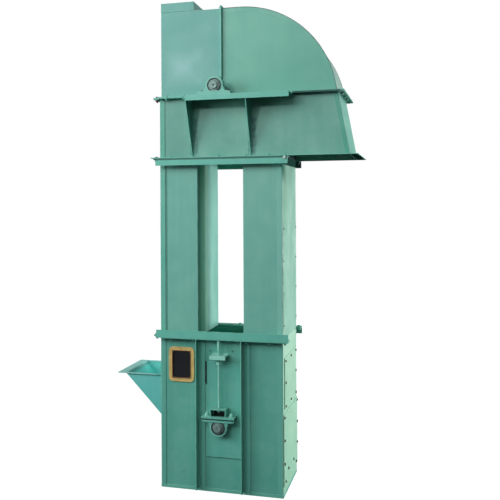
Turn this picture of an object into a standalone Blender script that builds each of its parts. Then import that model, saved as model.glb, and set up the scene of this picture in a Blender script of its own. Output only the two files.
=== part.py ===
"""A belt bucket elevator: boot, two casing legs, head and hood of folded sheet, with shafts,
pulleys, screw take-ups and a belt with buckets inside.

Metres, +Z up. The origin is on the floor under the middle of the boot. X runs from the feed
hopper to the outlet, and the front faces -Y.
"""
import math

import bmesh
import bpy
from mathutils import Matrix, Vector

# Fits between pieces
SEAT_GAP = 0.0003
RUNNING_GAP = 0.0005
MOVING_CLEARANCE = 0.005
SHAFT_HOLE_CLEARANCE = 0.006

# Casing sheet and rolled sections
SHEET = 0.003
LAP_WIDTH = 0.030
BAR_THICKNESS = 0.005
FLANGE_REACH = 0.050
FLANGE_LIP = 0.040
FLANGE_OVERHANG = 0.038
FLANGE_BACK_SHORT = 0.012
END_FLANGE_REACH = 0.038
FLANGE_CORNER_NECK = 0.008
END_BAR_THICKNESS = 0.004

# Boot
BOOT_WIDTH = 0.700
CASING_DEPTH = 0.400
BOOT_HEIGHT = 0.850
FLOOR_THICKNESS = 0.006
FLOOR_RIM_HEIGHT = 0.018
FLOOR_RIM_WIDTH = 0.005

# Legs
LEG_BELT_CLEARANCE = 0.035
LEG_LENGTH = 0.990

# Head and hood
HEAD_HEIGHT = 0.338
OUTLET_REACH = 0.365
HEAD_END_SLANT = 0.064
OUTLET_FLANGE_REACH = 0.045
THROAT_HEIGHT = 0.210
SPLIT_FLANGE_REACH = 0.035
SPLIT_END_REACH = 0.043
HOOD_HEIGHT = 0.482
HOOD_LEFT_STEP = 0.010
HOOD_ARC_RADIUS = 0.535
HOOD_END_INSET = 0.006
HOOD_LAP_WIDTH = 0.025
HOOD_ARC_STEPS = 20
SEAM_X = 0.012
SEAM_FLANGE_REACH = 0.014
SEAM_FLANGE_THICKNESS = 0.009
SEAM_FLANGE_LIFT = 0.035
HATCH_WIDTH = 0.194
HATCH_HEIGHT = 0.051

# Feed hopper and inlet
HOPPER_TOP_DROP = 0.229
HOPPER_REACH = 0.229
HOPPER_DROP = 0.245
HOPPER_SIDE_INSET = 0.045
HOPPER_RIM_WIDTH = 0.048
HOPPER_SIDE_RIM = 0.012
HOPPER_RIM_THICKNESS = 0.004
CHEEK_EDGE = 0.0006
INLET_MARGIN = 0.014
INLET_SILL = 0.030

# Inspection window
WINDOW_OUTER_MARGIN = 0.0185
WINDOW_INNER_MARGIN = 0.0215
WINDOW_TOP_DROP = 0.059
GASKET_HEIGHT = 0.194
WINDOW_CORNER = 0.014
GASKET_BORDER = 0.024
GASKET_THICKNESS = 0.007
PANE_LAP = 0.002

# Covers on the tail end of the boot
COVER_THICKNESS = 0.004
COVER_LAP = 0.035
UPPER_COVER_DROP = 0.102
UPPER_COVER_HEIGHT = 0.278
UPPER_COVER_INSET = 0.030
LOWER_COVER_BOTTOM = 0.060
LOWER_COVER_INSET = 0.005
COVER_SPACING = 0.024

# Shafts and pillow blocks
SHAFT_DIAMETER = 0.040
RACE_DIAMETER = 0.053
RACE_LENGTH = 0.049
BLOCK_LENGTH = 0.184
BLOCK_WIDTH = 0.054
BLOCK_HEIGHT = 0.0492
BLOCK_FOOT = 0.019
BLOCK_HOUSING_RADIUS = 0.049
BLOCK_HOUSING_WIDTH = 0.038
INSERT_DIAMETER = 0.080
INSERT_WIDTH = 0.044
BOOT_SHAFT_Z = 0.372
SHAFT_END_PROUD = 0.010
DRIVE_END_LENGTH = 0.105

# Pulleys, belt and buckets
PULLEY_RADIUS = 0.165
PULLEY_SIDE_CLEARANCE = 0.034
PULLEY_RIM = 0.006
PULLEY_WEB = 0.010
PULLEY_HUB_RADIUS = 0.038
PULLEY_HUB_LENGTH = 0.120
PULLEY_CROWN = 0.002
BELT_THICKNESS = 0.006
BELT_EDGE_INSET = 0.010
BUCKET_COUNT = 24
BUCKET_EDGE_INSET = 0.010
BUCKET_CLEARANCE = 0.055
BUCKET_WALL = 0.0025
BUCKET_BACK_TOP = 0.066
BUCKET_LIP_TOP = 0.044
BUCKET_BOTTOM = -0.058
BUCKET_BOTTOM_SHARE = 0.56
BUCKET_SEAT = 0.0015

# Bearing shelves on the head
SHELF_REACH = 0.120
SHELF_LIP = 0.030
SHELF_LEFT = -0.160
SHELF_RIGHT = 0.410
SHELF_BEARING_SETBACK = 0.013
GUSSET_THICKNESS = 0.005
GUSSET_SPACING = 0.334
GUSSET_SEAT = 0.0025

# Screw take-ups on the boot
TAKEUP_TRAVEL = 0.025
GUIDE_REACH = 0.053
GUIDE_FOOT = 0.040
GUIDE_THICKNESS = 0.004
SLIDE_PLATE_TOP_DROP = 0.044
SLIDE_PLATE_BOTTOM = 0.177
SLIDE_PLATE_THICKNESS = 0.004
SLOT_HALF_LENGTH = 0.120
LEDGE_THICKNESS = 0.010
LEDGE_REACH = 0.060
YOKE_WIDTH = 0.090
YOKE_HEIGHT = 0.042
YOKE_WALL = 0.006
YOKE_DEPTH = 0.050
SCREW_RADIUS = 0.006
SCREW_HEAD_RADIUS = 0.0075
SCREW_HEAD_LIFT = 0.002
SCREW_TIP = 0.0045
SCREW_NUT_SIZE = 0.024
SCREW_NUT_HEIGHT = 0.014
SCREW_NUT_DROP = 0.030
BRACKET_WIDTH = 0.090
BRACKET_DROP = 0.088
BRACKET_LIP = 0.020
BRACKET_THICKNESS = 0.008
BRACKET_LIP_THICKNESS = 0.006

ROUND_STEPS = 32
CORNER_STEPS = 4

# Places worked out from the sizes above
HALF_WIDTH = BOOT_WIDTH / 2
OUTER_Y = CASING_DEPTH / 2
PANEL_OUT = OUTER_Y - SHEET - SEAT_GAP
PANEL_IN = PANEL_OUT - SHEET
LEG_INNER_X = PULLEY_RADIUS - LEG_BELT_CLEARANCE
UPPER_JOINT = BOOT_HEIGHT + LEG_LENGTH
SPLIT_Z = UPPER_JOINT + HEAD_HEIGHT
SHELF_TOP = SPLIT_Z - BAR_THICKNESS - SEAT_GAP
HOOD_BOTTOM = SPLIT_Z + SEAT_GAP
HOOD_TOP = SPLIT_Z + HOOD_HEIGHT
HEAD_END_X = HALF_WIDTH + OUTLET_REACH
HOOD_END_X = HEAD_END_X - HEAD_END_SLANT - HOOD_END_INSET
HOOD_ARC_CENTRE_Z = HOOD_TOP - HOOD_ARC_RADIUS
HOOD_ARC_CENTRE_X = HOOD_END_X - math.sqrt(HOOD_ARC_RADIUS ** 2 - (HOOD_BOTTOM - HOOD_ARC_CENTRE_Z) ** 2)
HEAD_SHAFT_Z = SHELF_TOP + SEAT_GAP + BLOCK_HEIGHT
HEAD_BEARING_Y = OUTER_Y + SHELF_REACH - SHELF_BEARING_SETBACK - BLOCK_WIDTH / 2
HOPPER_TOP = BOOT_HEIGHT - HOPPER_TOP_DROP
HOPPER_WIDTH = CASING_DEPTH - 2 * HOPPER_SIDE_INSET
GASKET_WIDTH = HALF_WIDTH - LAP_WIDTH - LEG_INNER_X - WINDOW_OUTER_MARGIN - WINDOW_INNER_MARGIN
WINDOW_WIDTH = GASKET_WIDTH - 2 * GASKET_BORDER
WINDOW_HEIGHT = GASKET_HEIGHT - 2 * GASKET_BORDER
WINDOW_X = -LEG_INNER_X - WINDOW_INNER_MARGIN - GASKET_WIDTH / 2
WINDOW_Z = BOOT_HEIGHT - WINDOW_TOP_DROP - GASKET_HEIGHT / 2
UPPER_COVER_TOP = BOOT_HEIGHT - UPPER_COVER_DROP
UPPER_COVER_BOTTOM = UPPER_COVER_TOP - UPPER_COVER_HEIGHT
LOWER_COVER_TOP = UPPER_COVER_BOTTOM - COVER_SPACING
UPPER_COVER_WIDTH = CASING_DEPTH - 2 * UPPER_COVER_INSET
LOWER_COVER_WIDTH = CASING_DEPTH - 2 * LOWER_COVER_INSET
BRACKET_TOP = BOOT_HEIGHT - BRACKET_DROP
SLIDE_PLATE_TOP = BRACKET_TOP - SLIDE_PLATE_TOP_DROP
SLIDE_PLATE_IN = PANEL_OUT + MOVING_CLEARANCE
SLIDE_PLATE_OUT = SLIDE_PLATE_IN + SLIDE_PLATE_THICKNESS
LEDGE_BOTTOM = BOOT_SHAFT_Z + BLOCK_HEIGHT + SEAT_GAP
LEDGE_TOP = LEDGE_BOTTOM + LEDGE_THICKNESS
TAKEUP_Y = SLIDE_PLATE_OUT + LEDGE_REACH / 2
SLOT_HALF_WIDTH = SHAFT_DIAMETER / 2 + SHAFT_HOLE_CLEARANCE
BELT_LOW_Z = BOOT_SHAFT_Z - TAKEUP_TRAVEL - RUNNING_GAP
PULLEY_WIDTH = 2 * (PANEL_IN - PULLEY_SIDE_CLEARANCE)
BELT_WIDTH = PULLEY_WIDTH - 2 * BELT_EDGE_INSET
BUCKET_WIDTH = BELT_WIDTH - 2 * BUCKET_EDGE_INSET
BELT_INNER_RADIUS = (PULLEY_RADIUS + PULLEY_CROWN + SEAT_GAP) / math.cos(math.pi / ROUND_STEPS)
BELT_OUTER_RADIUS = BELT_INNER_RADIUS + BELT_THICKNESS
BUCKET_PROJECTION = HALF_WIDTH - SHEET - BELT_OUTER_RADIUS - BUCKET_CLEARANCE

PAINT = ("casing_paint", (0.16, 0.47, 0.39), 0.45, 0.1)
PAINT_DARK = ("flange_paint", (0.12, 0.40, 0.33), 0.5, 0.1)
GASKET_RUBBER = ("gasket_rubber", (0.72, 0.42, 0.12), 0.7, 0.0)
PANE_GLASS = ("pane_glass", (0.03, 0.035, 0.04), 0.1, 0.0)
SHAFT_STEEL = ("shaft_steel", (0.45, 0.45, 0.44), 0.35, 1.0)
PULLEY_STEEL = ("pulley_steel", (0.25, 0.26, 0.26), 0.5, 0.9)
BELT_RUBBER = ("belt_rubber", (0.03, 0.03, 0.03), 0.8, 0.0)


def clear_scene():
    """Remove whatever the scene holds."""
    for obj in list(bpy.data.objects):
        bpy.data.objects.remove(obj, do_unlink=True)


def collection(name):
    """A new collection under the scene's own."""
    group = bpy.data.collections.new(name)
    bpy.context.scene.collection.children.link(group)
    return group


clear_scene()
PARTS = collection("bucket_elevator")
CUTTERS = collection("cutters")


def surface(finish, name):
    """A Principled material of the piece's own."""
    _, colour, roughness, metallic = finish
    material = bpy.data.materials.new(name + "_" + finish[0])
    material.use_nodes = True
    shader = material.node_tree.nodes["Principled BSDF"]
    shader.inputs["Base Color"].default_value = (*colour, 1.0)
    shader.inputs["Roughness"].default_value = roughness
    shader.inputs["Metallic"].default_value = metallic
    return material


def add(name, mesh, finish=None, place=None, group=None):
    """An object for a mesh, with its place and its finish."""
    obj = bpy.data.objects.new(name, mesh)
    (group or PARTS).objects.link(obj)
    if place is not None:
        obj.matrix_world = place
    if finish is not None:
        mesh.materials.clear()
        mesh.materials.append(surface(finish, name))
    return obj


def box(name, x, y, z, finish=None):
    """A block between two limits along each axis, placed by its centre."""
    shape = bmesh.new()
    bmesh.ops.create_cube(shape, size=1.0)
    bmesh.ops.scale(shape, verts=shape.verts, vec=(x[1] - x[0], y[1] - y[0], z[1] - z[0]))
    mesh = bpy.data.meshes.new(name)
    shape.to_mesh(mesh)
    shape.free()
    centre = Vector(((x[0] + x[1]) / 2, (y[0] + y[1]) / 2, (z[0] + z[1]) / 2))
    return add(name, mesh, finish, Matrix.Translation(centre))


PLANES = {
    "XY": Matrix.Identity(4),
    "XZ": Matrix.Rotation(math.radians(90), 4, "X"),
    "YZ": Matrix.Rotation(math.radians(90), 4, "Z") @ Matrix.Rotation(math.radians(90), 4, "X"),
}
NORMALS = {"XY": Vector((0, 0, 1)), "XZ": Vector((0, -1, 0)), "YZ": Vector((1, 0, 0))}


def flat_shape(name, loops, limits, plane, finish=None):
    """Closed outlines in a plane, filled and drawn out between two limits along the plane's
    normal. The first outline is the rim, and the others are holes."""
    curve = bpy.data.curves.new(name, "CURVE")
    curve.dimensions = "2D"
    curve.fill_mode = "BOTH"
    curve.extrude = abs(limits[1] - limits[0]) / 2
    for points in loops:
        spline = curve.splines.new("POLY")
        spline.points.add(len(points) - 1)
        for point, (u, v) in zip(spline.points, points):
            point.co = (u, v, 0.0, 1.0)
        spline.use_cyclic_u = True
    middle = (limits[0] + limits[1]) / 2
    axis = Vector([abs(part) for part in NORMALS[plane]])
    place = Matrix.Translation(axis * middle) @ PLANES[plane]
    return curve_to_mesh(name, curve, place, finish)


def curve_to_mesh(name, curve, place, finish=None):
    """Turn a filled curve into a closed mesh that stands at the same place."""
    source = bpy.data.objects.new(name + "_curve", curve)
    bpy.context.scene.collection.objects.link(source)
    source.matrix_world = place
    bpy.context.view_layer.update()
    evaluated = source.evaluated_get(bpy.context.evaluated_depsgraph_get())
    mesh = bpy.data.meshes.new_from_object(evaluated)
    shape = bmesh.new()
    shape.from_mesh(mesh)
    bmesh.ops.remove_doubles(shape, verts=shape.verts, dist=0.00002)
    bmesh.ops.recalc_face_normals(shape, faces=shape.faces)
    shape.to_mesh(mesh)
    shape.free()
    mesh.materials.clear()
    bpy.data.objects.remove(source)
    bpy.data.curves.remove(curve)
    return add(name, mesh, finish, place)


def rectangle(u, v):
    """Corner points of a rectangle between limits."""
    return [(u[0], v[0]), (u[1], v[0]), (u[1], v[1]), (u[0], v[1])]


def arc(centre, radius, start, end, steps):
    """Points on an arc, angles in degrees."""
    points = []
    for step in range(steps + 1):
        angle = math.radians(start + (end - start) * step / steps)
        points.append((centre[0] + radius * math.cos(angle), centre[1] + radius * math.sin(angle)))
    return points


def circle(centre, radius, steps=ROUND_STEPS):
    """Points round a circle."""
    return arc(centre, radius, 0.0, 360.0, steps)[:-1]


def rounded_rectangle(centre, width, height, radius):
    """A rectangle's outline with round corners."""
    points = []
    corners = ((1, 1, 0), (-1, 1, 90), (-1, -1, 180), (1, -1, 270))
    for side_u, side_v, angle in corners:
        middle = (centre[0] + side_u * (width / 2 - radius), centre[1] + side_v * (height / 2 - radius))
        points += arc(middle, radius, angle, angle + 90, CORNER_STEPS)
    return points


def slot_outline(centre, half_width, half_length):
    """An upright slot with round ends."""
    reach = half_length - half_width
    top = arc((centre[0], centre[1] + reach), half_width, 0, 180, CORNER_STEPS * 2)
    bottom = arc((centre[0], centre[1] - reach), half_width, 180, 360, CORNER_STEPS * 2)
    return top + bottom


def boolean(obj, other, operation):
    """Join or cut one solid with another."""
    modifier = obj.modifiers.new(operation.lower(), "BOOLEAN")
    modifier.operation = operation
    modifier.solver = "EXACT"
    modifier.object = other
    return modifier


def settle(obj):
    """Apply an object's modifiers to its mesh."""
    bpy.context.view_layer.update()
    evaluated = obj.evaluated_get(bpy.context.evaluated_depsgraph_get())
    mesh = bpy.data.meshes.new_from_object(evaluated)
    obj.modifiers.clear()
    obj.data = mesh


def weld(obj, pieces):
    """Fuse pieces into an object, as welding does."""
    for piece in pieces:
        boolean(obj, piece, "UNION")
    settle(obj)
    for piece in pieces:
        bpy.data.objects.remove(piece)
    return obj


def cut(obj, cutter):
    """Cut an opening with a solid that is kept as a cutter."""
    for group in list(cutter.users_collection):
        group.objects.unlink(cutter)
    if cutter.name not in CUTTERS.objects:
        CUTTERS.objects.link(cutter)
    cutter.hide_render = True
    cutter.display_type = "WIRE"
    boolean(obj, cutter, "DIFFERENCE")
    return obj


def round_shading(obj, angle=40):
    """Smooth shading that keeps edges sharper than an angle."""
    obj.data.shade_smooth()
    obj.data.set_sharp_from_angle(angle=math.radians(angle))


def turned(name, profile, place, finish, closed=False, steps=ROUND_STEPS):
    """A body of revolution: (radius, height) points, down the outer side, about local Z."""
    shape = bmesh.new()
    points = [shape.verts.new((radius, 0.0, height)) for radius, height in profile]
    for first, second in zip(points, points[1:]):
        shape.edges.new((first, second))
    if closed:
        shape.edges.new((points[-1], points[0]))
    mesh = bpy.data.meshes.new(name)
    shape.to_mesh(mesh)
    shape.free()
    obj = add(name, mesh, finish, place)
    screw = obj.modifiers.new("turn", "SCREW")
    screw.axis = "Z"
    screw.steps = steps
    screw.render_steps = steps
    screw.use_merge_vertices = True
    screw.merge_threshold = 0.0001
    screw.use_smooth_shade = True
    settle(obj)
    round_shading(obj)
    return obj


ALONG_Y = Matrix.Rotation(math.radians(-90), 4, "X")


def floor_pan():
    """The boot's floor: a plate with a low rim that the walls stand on."""
    half_x = HALF_WIDTH
    half_y = OUTER_Y
    pan = box("boot_floor", (-half_x, half_x), (-half_y, half_y), (0, FLOOR_RIM_HEIGHT), PAINT)
    inner_x = half_x - FLOOR_RIM_WIDTH
    inner_y = half_y - FLOOR_RIM_WIDTH - SHEET
    pocket_top = FLOOR_RIM_HEIGHT + FLOOR_THICKNESS
    pocket = box("floor_pocket", (-inner_x, inner_x), (-inner_y, inner_y), (FLOOR_THICKNESS, pocket_top))
    return cut(pan, pocket)


def end_channel(name, side, bottom, top, lap=LAP_WIDTH):
    """An end wall folded as a channel: its flanges lap over the front and back sheets."""
    out_x = side * HALF_WIDTH
    in_x = side * (HALF_WIDTH - SHEET)
    lap_x = side * (HALF_WIDTH - lap)
    in_y = OUTER_Y - SHEET
    outline = [
        (out_x, -OUTER_Y), (out_x, OUTER_Y), (lap_x, OUTER_Y), (lap_x, in_y),
        (in_x, in_y), (in_x, -in_y), (lap_x, -in_y), (lap_x, -OUTER_Y),
    ]
    return flat_shape(name, [outline], (bottom, top), "XY", PAINT)


def wall_bottom():
    """Height at which the boot's walls start, on the floor pan's rim."""
    return FLOOR_RIM_HEIGHT + SEAT_GAP


def wall_top():
    """Height at which the boot's walls end, under the leg joint."""
    return BOOT_HEIGHT - SEAT_GAP


def panel_half_width():
    """Half of the front and back sheets' width, between the end walls."""
    return HALF_WIDTH - SHEET - SEAT_GAP


def boot_side(name, side, has_window):
    """A front or back sheet of the boot, slotted for the shaft."""
    half = panel_half_width()
    loops = [rectangle((-half, half), (wall_bottom(), wall_top()))]
    loops.append(slot_outline((0.0, BOOT_SHAFT_Z), SLOT_HALF_WIDTH, SLOT_HALF_LENGTH))
    if has_window:
        loops.append(window_hole())
    return flat_shape(name, loops, (side * PANEL_IN, side * PANEL_OUT), "XZ", PAINT)


def window_hole():
    """The window's cut in the front sheet: it holds the pane."""
    width = WINDOW_WIDTH + 2 * PANE_LAP + 2 * SEAT_GAP
    height = WINDOW_HEIGHT + 2 * PANE_LAP + 2 * SEAT_GAP
    return rounded_rectangle((WINDOW_X, WINDOW_Z), width, height, WINDOW_CORNER)


def window():
    """A thick rubber frame over the cut, with the pane held behind it."""
    centre = (WINDOW_X, WINDOW_Z)
    back = -PANEL_OUT - SEAT_GAP
    rim = rounded_rectangle(
        centre, WINDOW_WIDTH + 2 * GASKET_BORDER, WINDOW_HEIGHT + 2 * GASKET_BORDER,
        WINDOW_CORNER + GASKET_BORDER / 2)
    hole = rounded_rectangle(centre, WINDOW_WIDTH, WINDOW_HEIGHT, WINDOW_CORNER)
    flat_shape("window_gasket", [rim, hole], (back - GASKET_THICKNESS, back), "XZ", GASKET_RUBBER)
    pane = rounded_rectangle(
        centre, WINDOW_WIDTH + 2 * PANE_LAP, WINDOW_HEIGHT + 2 * PANE_LAP, WINDOW_CORNER)
    flat_shape("window_glass", [pane], (-PANEL_OUT, -PANEL_IN), "XZ", PANE_GLASS)


def inlet_end():
    """The boot's wall under the hopper, with the inlet cut through it."""
    wall = end_channel("boot_inlet_end", -1, wall_bottom(), wall_top())
    half = HOPPER_WIDTH / 2 - INLET_MARGIN
    sill = HOPPER_TOP - HOPPER_DROP + INLET_SILL
    x = (-HALF_WIDTH - SHEET, -HALF_WIDTH + 2 * SHEET)
    return cut(wall, box("inlet_cutter", x, (-half, half), (sill, HOPPER_TOP - INLET_MARGIN)))


def tail_end():
    """The boot's other end wall, with an opening behind each cover."""
    wall = end_channel("boot_tail_end", 1, wall_bottom(), wall_top())
    x = (HALF_WIDTH - 2 * SHEET, HALF_WIDTH + SHEET)
    openings = (
        ("upper_cover_cutter", UPPER_COVER_WIDTH, UPPER_COVER_BOTTOM, UPPER_COVER_TOP),
        ("lower_cover_cutter", LOWER_COVER_WIDTH, LOWER_COVER_BOTTOM, LOWER_COVER_TOP),
    )
    for name, width, bottom, top in openings:
        half = width / 2 - COVER_LAP
        cut(wall, box(name, x, (-half, half), (bottom + COVER_LAP, top - COVER_LAP)))
    return wall


def tail_covers():
    """The bolted cover plates on the tail end."""
    x = (HALF_WIDTH + SEAT_GAP, HALF_WIDTH + SEAT_GAP + COVER_THICKNESS)
    upper_half = UPPER_COVER_WIDTH / 2
    upper_z = (UPPER_COVER_BOTTOM, UPPER_COVER_TOP)
    box("boot_upper_cover", x, (-upper_half, upper_half), upper_z, PAINT)
    lower_half = LOWER_COVER_WIDTH / 2
    lower_z = (LOWER_COVER_BOTTOM, LOWER_COVER_TOP)
    box("boot_lower_cover", x, (-lower_half, lower_half), lower_z, PAINT)


def boot_top_plate():
    """The deck that closes the boot between the legs."""
    half = LEG_INNER_X - SHEET
    depth = PANEL_IN - SEAT_GAP
    z = (wall_top() - SHEET, wall_top())
    box("boot_top_plate", (-half, half), (-depth, depth), z, PAINT)


def hopper():
    """The feed hopper: a sloped sheet between two cheeks, open on top and to the boot, with a
    rim round its other three sides."""
    near = -HALF_WIDTH - SEAT_GAP
    far = near - HOPPER_REACH
    half = HOPPER_WIDTH / 2
    top = HOPPER_TOP - HOPPER_RIM_THICKNESS / 2
    low = HOPPER_TOP - HOPPER_DROP
    rise = math.atan2(top - low, near - far)
    outer = CHEEK_EDGE
    inner = CHEEK_EDGE + SHEET
    slope = [
        (far + outer / math.sin(rise), top), (far + inner / math.sin(rise), top),
        (near, low + inner / math.cos(rise)), (near, low + outer / math.cos(rise)),
    ]
    reach = half - SHEET / 2
    chute = flat_shape("feed_hopper", [slope], (-reach, reach), "XZ", PAINT)
    cheek = [(far, top), (near, top), (near, low)]
    pieces = []
    for label, side in (("front", -1), ("back", 1)):
        y = (side * (half - SHEET), side * half)
        pieces.append(flat_shape("hopper_cheek_" + label, [cheek], y, "XZ"))
    rim_end = near - CHEEK_EDGE
    rim_in = far + SHEET
    rim_out = far - HOPPER_RIM_WIDTH
    half_out = half + HOPPER_SIDE_RIM
    outline = [
        (rim_end, reach), (rim_end, half_out), (rim_out, half_out), (rim_out, -half_out),
        (rim_end, -half_out), (rim_end, -reach), (rim_in, -reach), (rim_in, reach),
    ]
    z = (HOPPER_TOP - HOPPER_RIM_THICKNESS, HOPPER_TOP)
    pieces.append(flat_shape("hopper_rim", [outline], z, "XY"))
    return weld(chute, pieces)


def flange(name, z, lips, right_front, right_back):
    """A joint flange on three sides of a casing: two long bars, either of which can have a lip
    along its outer edge that ends at a height, and a thinner flat bar across the feed end."""
    inner_y = OUTER_Y + SEAT_GAP
    outer_y = OUTER_Y + FLANGE_REACH
    lip_y = outer_y - BAR_THICKNESS
    left = -HALF_WIDTH - FLANGE_CORNER_NECK
    bars = []
    for label, side, right in (("front", -1, right_front), ("back", 1, right_back)):
        lip_to = lips.get(label)
        plain, root = (z[1], z[0]) if lip_to is None or lip_to > z[1] else z
        profile = [(side * inner_y, root), (side * outer_y, root)]
        if lip_to is not None:
            profile += [(side * outer_y, lip_to), (side * lip_y, lip_to), (side * lip_y, plain)]
        else:
            profile += [(side * outer_y, plain)]
        profile += [(side * inner_y, plain)]
        bars.append(flat_shape(name + "_" + label, [profile], (left, right), "YZ", PAINT_DARK))
    inset = (BAR_THICKNESS - END_BAR_THICKNESS) / 2
    reach = inner_y + FLANGE_CORNER_NECK
    x = (-HALF_WIDTH - END_FLANGE_REACH, -HALF_WIDTH - SEAT_GAP)
    end = box(name, x, (-reach, reach), (z[0] + inset, z[1] - inset), PAINT_DARK)
    return weld(end, bars)


def leg_flanges():
    """The boot's top flange and the flanges at both ends of the legs. At the leg's foot the front
    bar stands up and the back bar, which is the boot's, hangs down."""
    front = HALF_WIDTH + FLANGE_OVERHANG
    back = front - FLANGE_BACK_SHORT
    joint = BOOT_HEIGHT - SEAT_GAP
    lips = {"back": joint - FLANGE_LIP}
    flange("boot_top_flange", (joint - BAR_THICKNESS, joint), lips, front, back)
    foot = BOOT_HEIGHT + SEAT_GAP
    lips = {"front": foot + FLANGE_LIP}
    flange("leg_foot_flange", (foot, foot + BAR_THICKNESS), lips, front, back)
    head = UPPER_JOINT - SEAT_GAP
    lips = {"front": head - FLANGE_LIP, "back": head - FLANGE_LIP}
    flange("leg_top_flange", (head - BAR_THICKNESS, head), lips, front, back)


def leg(label, side):
    """A leg: an outer channel that laps over a folded inner channel."""
    bottom = BOOT_HEIGHT + SEAT_GAP
    top = UPPER_JOINT - SEAT_GAP
    end_channel(label + "_leg_outer_wall", side, bottom, top)
    outer_x = side * panel_half_width()
    inner_x = side * LEG_INNER_X
    wall_x = side * (LEG_INNER_X + SHEET)
    outline = [
        (outer_x, -PANEL_OUT), (inner_x, -PANEL_OUT), (inner_x, PANEL_OUT), (outer_x, PANEL_OUT),
        (outer_x, PANEL_IN), (wall_x, PANEL_IN), (wall_x, -PANEL_IN), (outer_x, -PANEL_IN),
    ]
    flat_shape(label + "_leg_inner_channel", [outline], (bottom, top), "XY", PAINT)


def head_bottom():
    """Height at which the head's walls start."""
    return UPPER_JOINT + SEAT_GAP


def slant(z):
    """How far the discharge end leans in at a height."""
    return HEAD_END_SLANT * (z - UPPER_JOINT) / HEAD_HEIGHT


def head_side(name, side):
    """A front or back sheet of the head, with a slanted discharge end."""
    inset = SHEET + SEAT_GAP
    bottom = head_bottom()
    top = SHELF_TOP
    outline = [
        (-panel_half_width(), bottom), (HEAD_END_X - inset - slant(bottom), bottom),
        (HEAD_END_X - inset - slant(top), top), (-panel_half_width(), top),
    ]
    return flat_shape(name, [outline], (side * PANEL_IN, side * PANEL_OUT), "XZ", PAINT)


def discharge_end():
    """The slanted end wall over the outlet, folded as a channel like the other ends."""
    bottom = head_bottom()
    top = SHELF_TOP
    wall = end_channel("head_discharge_end", 1, bottom, top, HOOD_LAP_WIDTH)
    lean = Matrix.Identity(4)
    lean[0][2] = -HEAD_END_SLANT / HEAD_HEIGHT
    middle = (bottom + top) / 2
    shift = Matrix.Translation(Vector((OUTLET_REACH - slant(middle), 0, 0)))
    wall.data.transform(shift @ lean)
    return wall


def head_inside():
    """The floor between the legs and the plate that parts the down leg from the outlet."""
    depth = PANEL_IN - SEAT_GAP
    half = LEG_INNER_X + SHEET
    z = (head_bottom(), head_bottom() + SHEET)
    box("head_floor_plate", (-half, half), (-depth, depth), z, PAINT)
    x = (HALF_WIDTH, HALF_WIDTH + SHEET)
    z = (head_bottom(), head_bottom() + THROAT_HEIGHT)
    box("head_throat_plate", x, (-depth, depth), z, PAINT)


def head_foot_flange():
    """The flange round the head's foot: it meets the legs and frames the outlet."""
    inner_y = OUTER_Y + SEAT_GAP
    outer_y = OUTER_Y + FLANGE_REACH
    rim = rectangle((-HALF_WIDTH - END_FLANGE_REACH, HEAD_END_X + OUTLET_FLANGE_REACH), (-outer_y, outer_y))
    hole = rectangle((-HALF_WIDTH - SEAT_GAP, HEAD_END_X + SEAT_GAP), (-inner_y, inner_y))
    z = (head_bottom(), head_bottom() + BAR_THICKNESS)
    flat_shape("head_foot_flange", [rim, hole], z, "XY", PAINT_DARK)


def split_flanges():
    """The frame on the head's walls that the hood stands on, and the hood's own frame, which is
    bolted down to it. Their bars across the feed end are shorter than the frames are deep."""
    outer_y = OUTER_Y + SPLIT_FLANGE_REACH
    end_y = OUTER_Y + FLANGE_CORNER_NECK
    left = -HALF_WIDTH - SPLIT_FLANGE_REACH
    neck = -HALF_WIDTH
    right = HOOD_END_X + SPLIT_END_REACH
    rim = [
        (left, -end_y), (neck, -end_y), (neck, -outer_y), (right, -outer_y), (right, outer_y),
        (neck, outer_y), (neck, end_y), (left, end_y),
    ]
    hood_left_x = -HALF_WIDTH + HOOD_LEFT_STEP
    under_hood = (hood_left_x + SHEET, HEAD_END_X - HEAD_END_SLANT - SHEET)
    hole = rectangle(under_hood, (-PANEL_IN, PANEL_IN))
    z = (SPLIT_Z - BAR_THICKNESS, SPLIT_Z)
    flat_shape("split_flange", [rim, hole], z, "XY", PAINT_DARK)
    round_hood = (hood_left_x - SEAT_GAP, HOOD_END_X + SEAT_GAP)
    inner_y = OUTER_Y + SEAT_GAP
    hole = rectangle(round_hood, (-inner_y, inner_y))
    z = (HOOD_BOTTOM, HOOD_BOTTOM + BAR_THICKNESS)
    flat_shape("hood_foot_flange", [rim, hole], z, "XY", PAINT_DARK)


def shaft_notch(name):
    """A cutter for the notch that lets the head shaft out of the hood."""
    radius = SHAFT_DIAMETER / 2 + SHAFT_HOLE_CLEARANCE
    outline = [(radius, SPLIT_Z - BAR_THICKNESS)]
    outline += arc((0.0, HEAD_SHAFT_Z), radius, 0, 180, CORNER_STEPS * 2)
    outline += [(-radius, SPLIT_Z - BAR_THICKNESS)]
    depth = OUTER_Y + FLANGE_REACH
    return flat_shape(name, [outline], (-depth, depth), "XZ")


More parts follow.
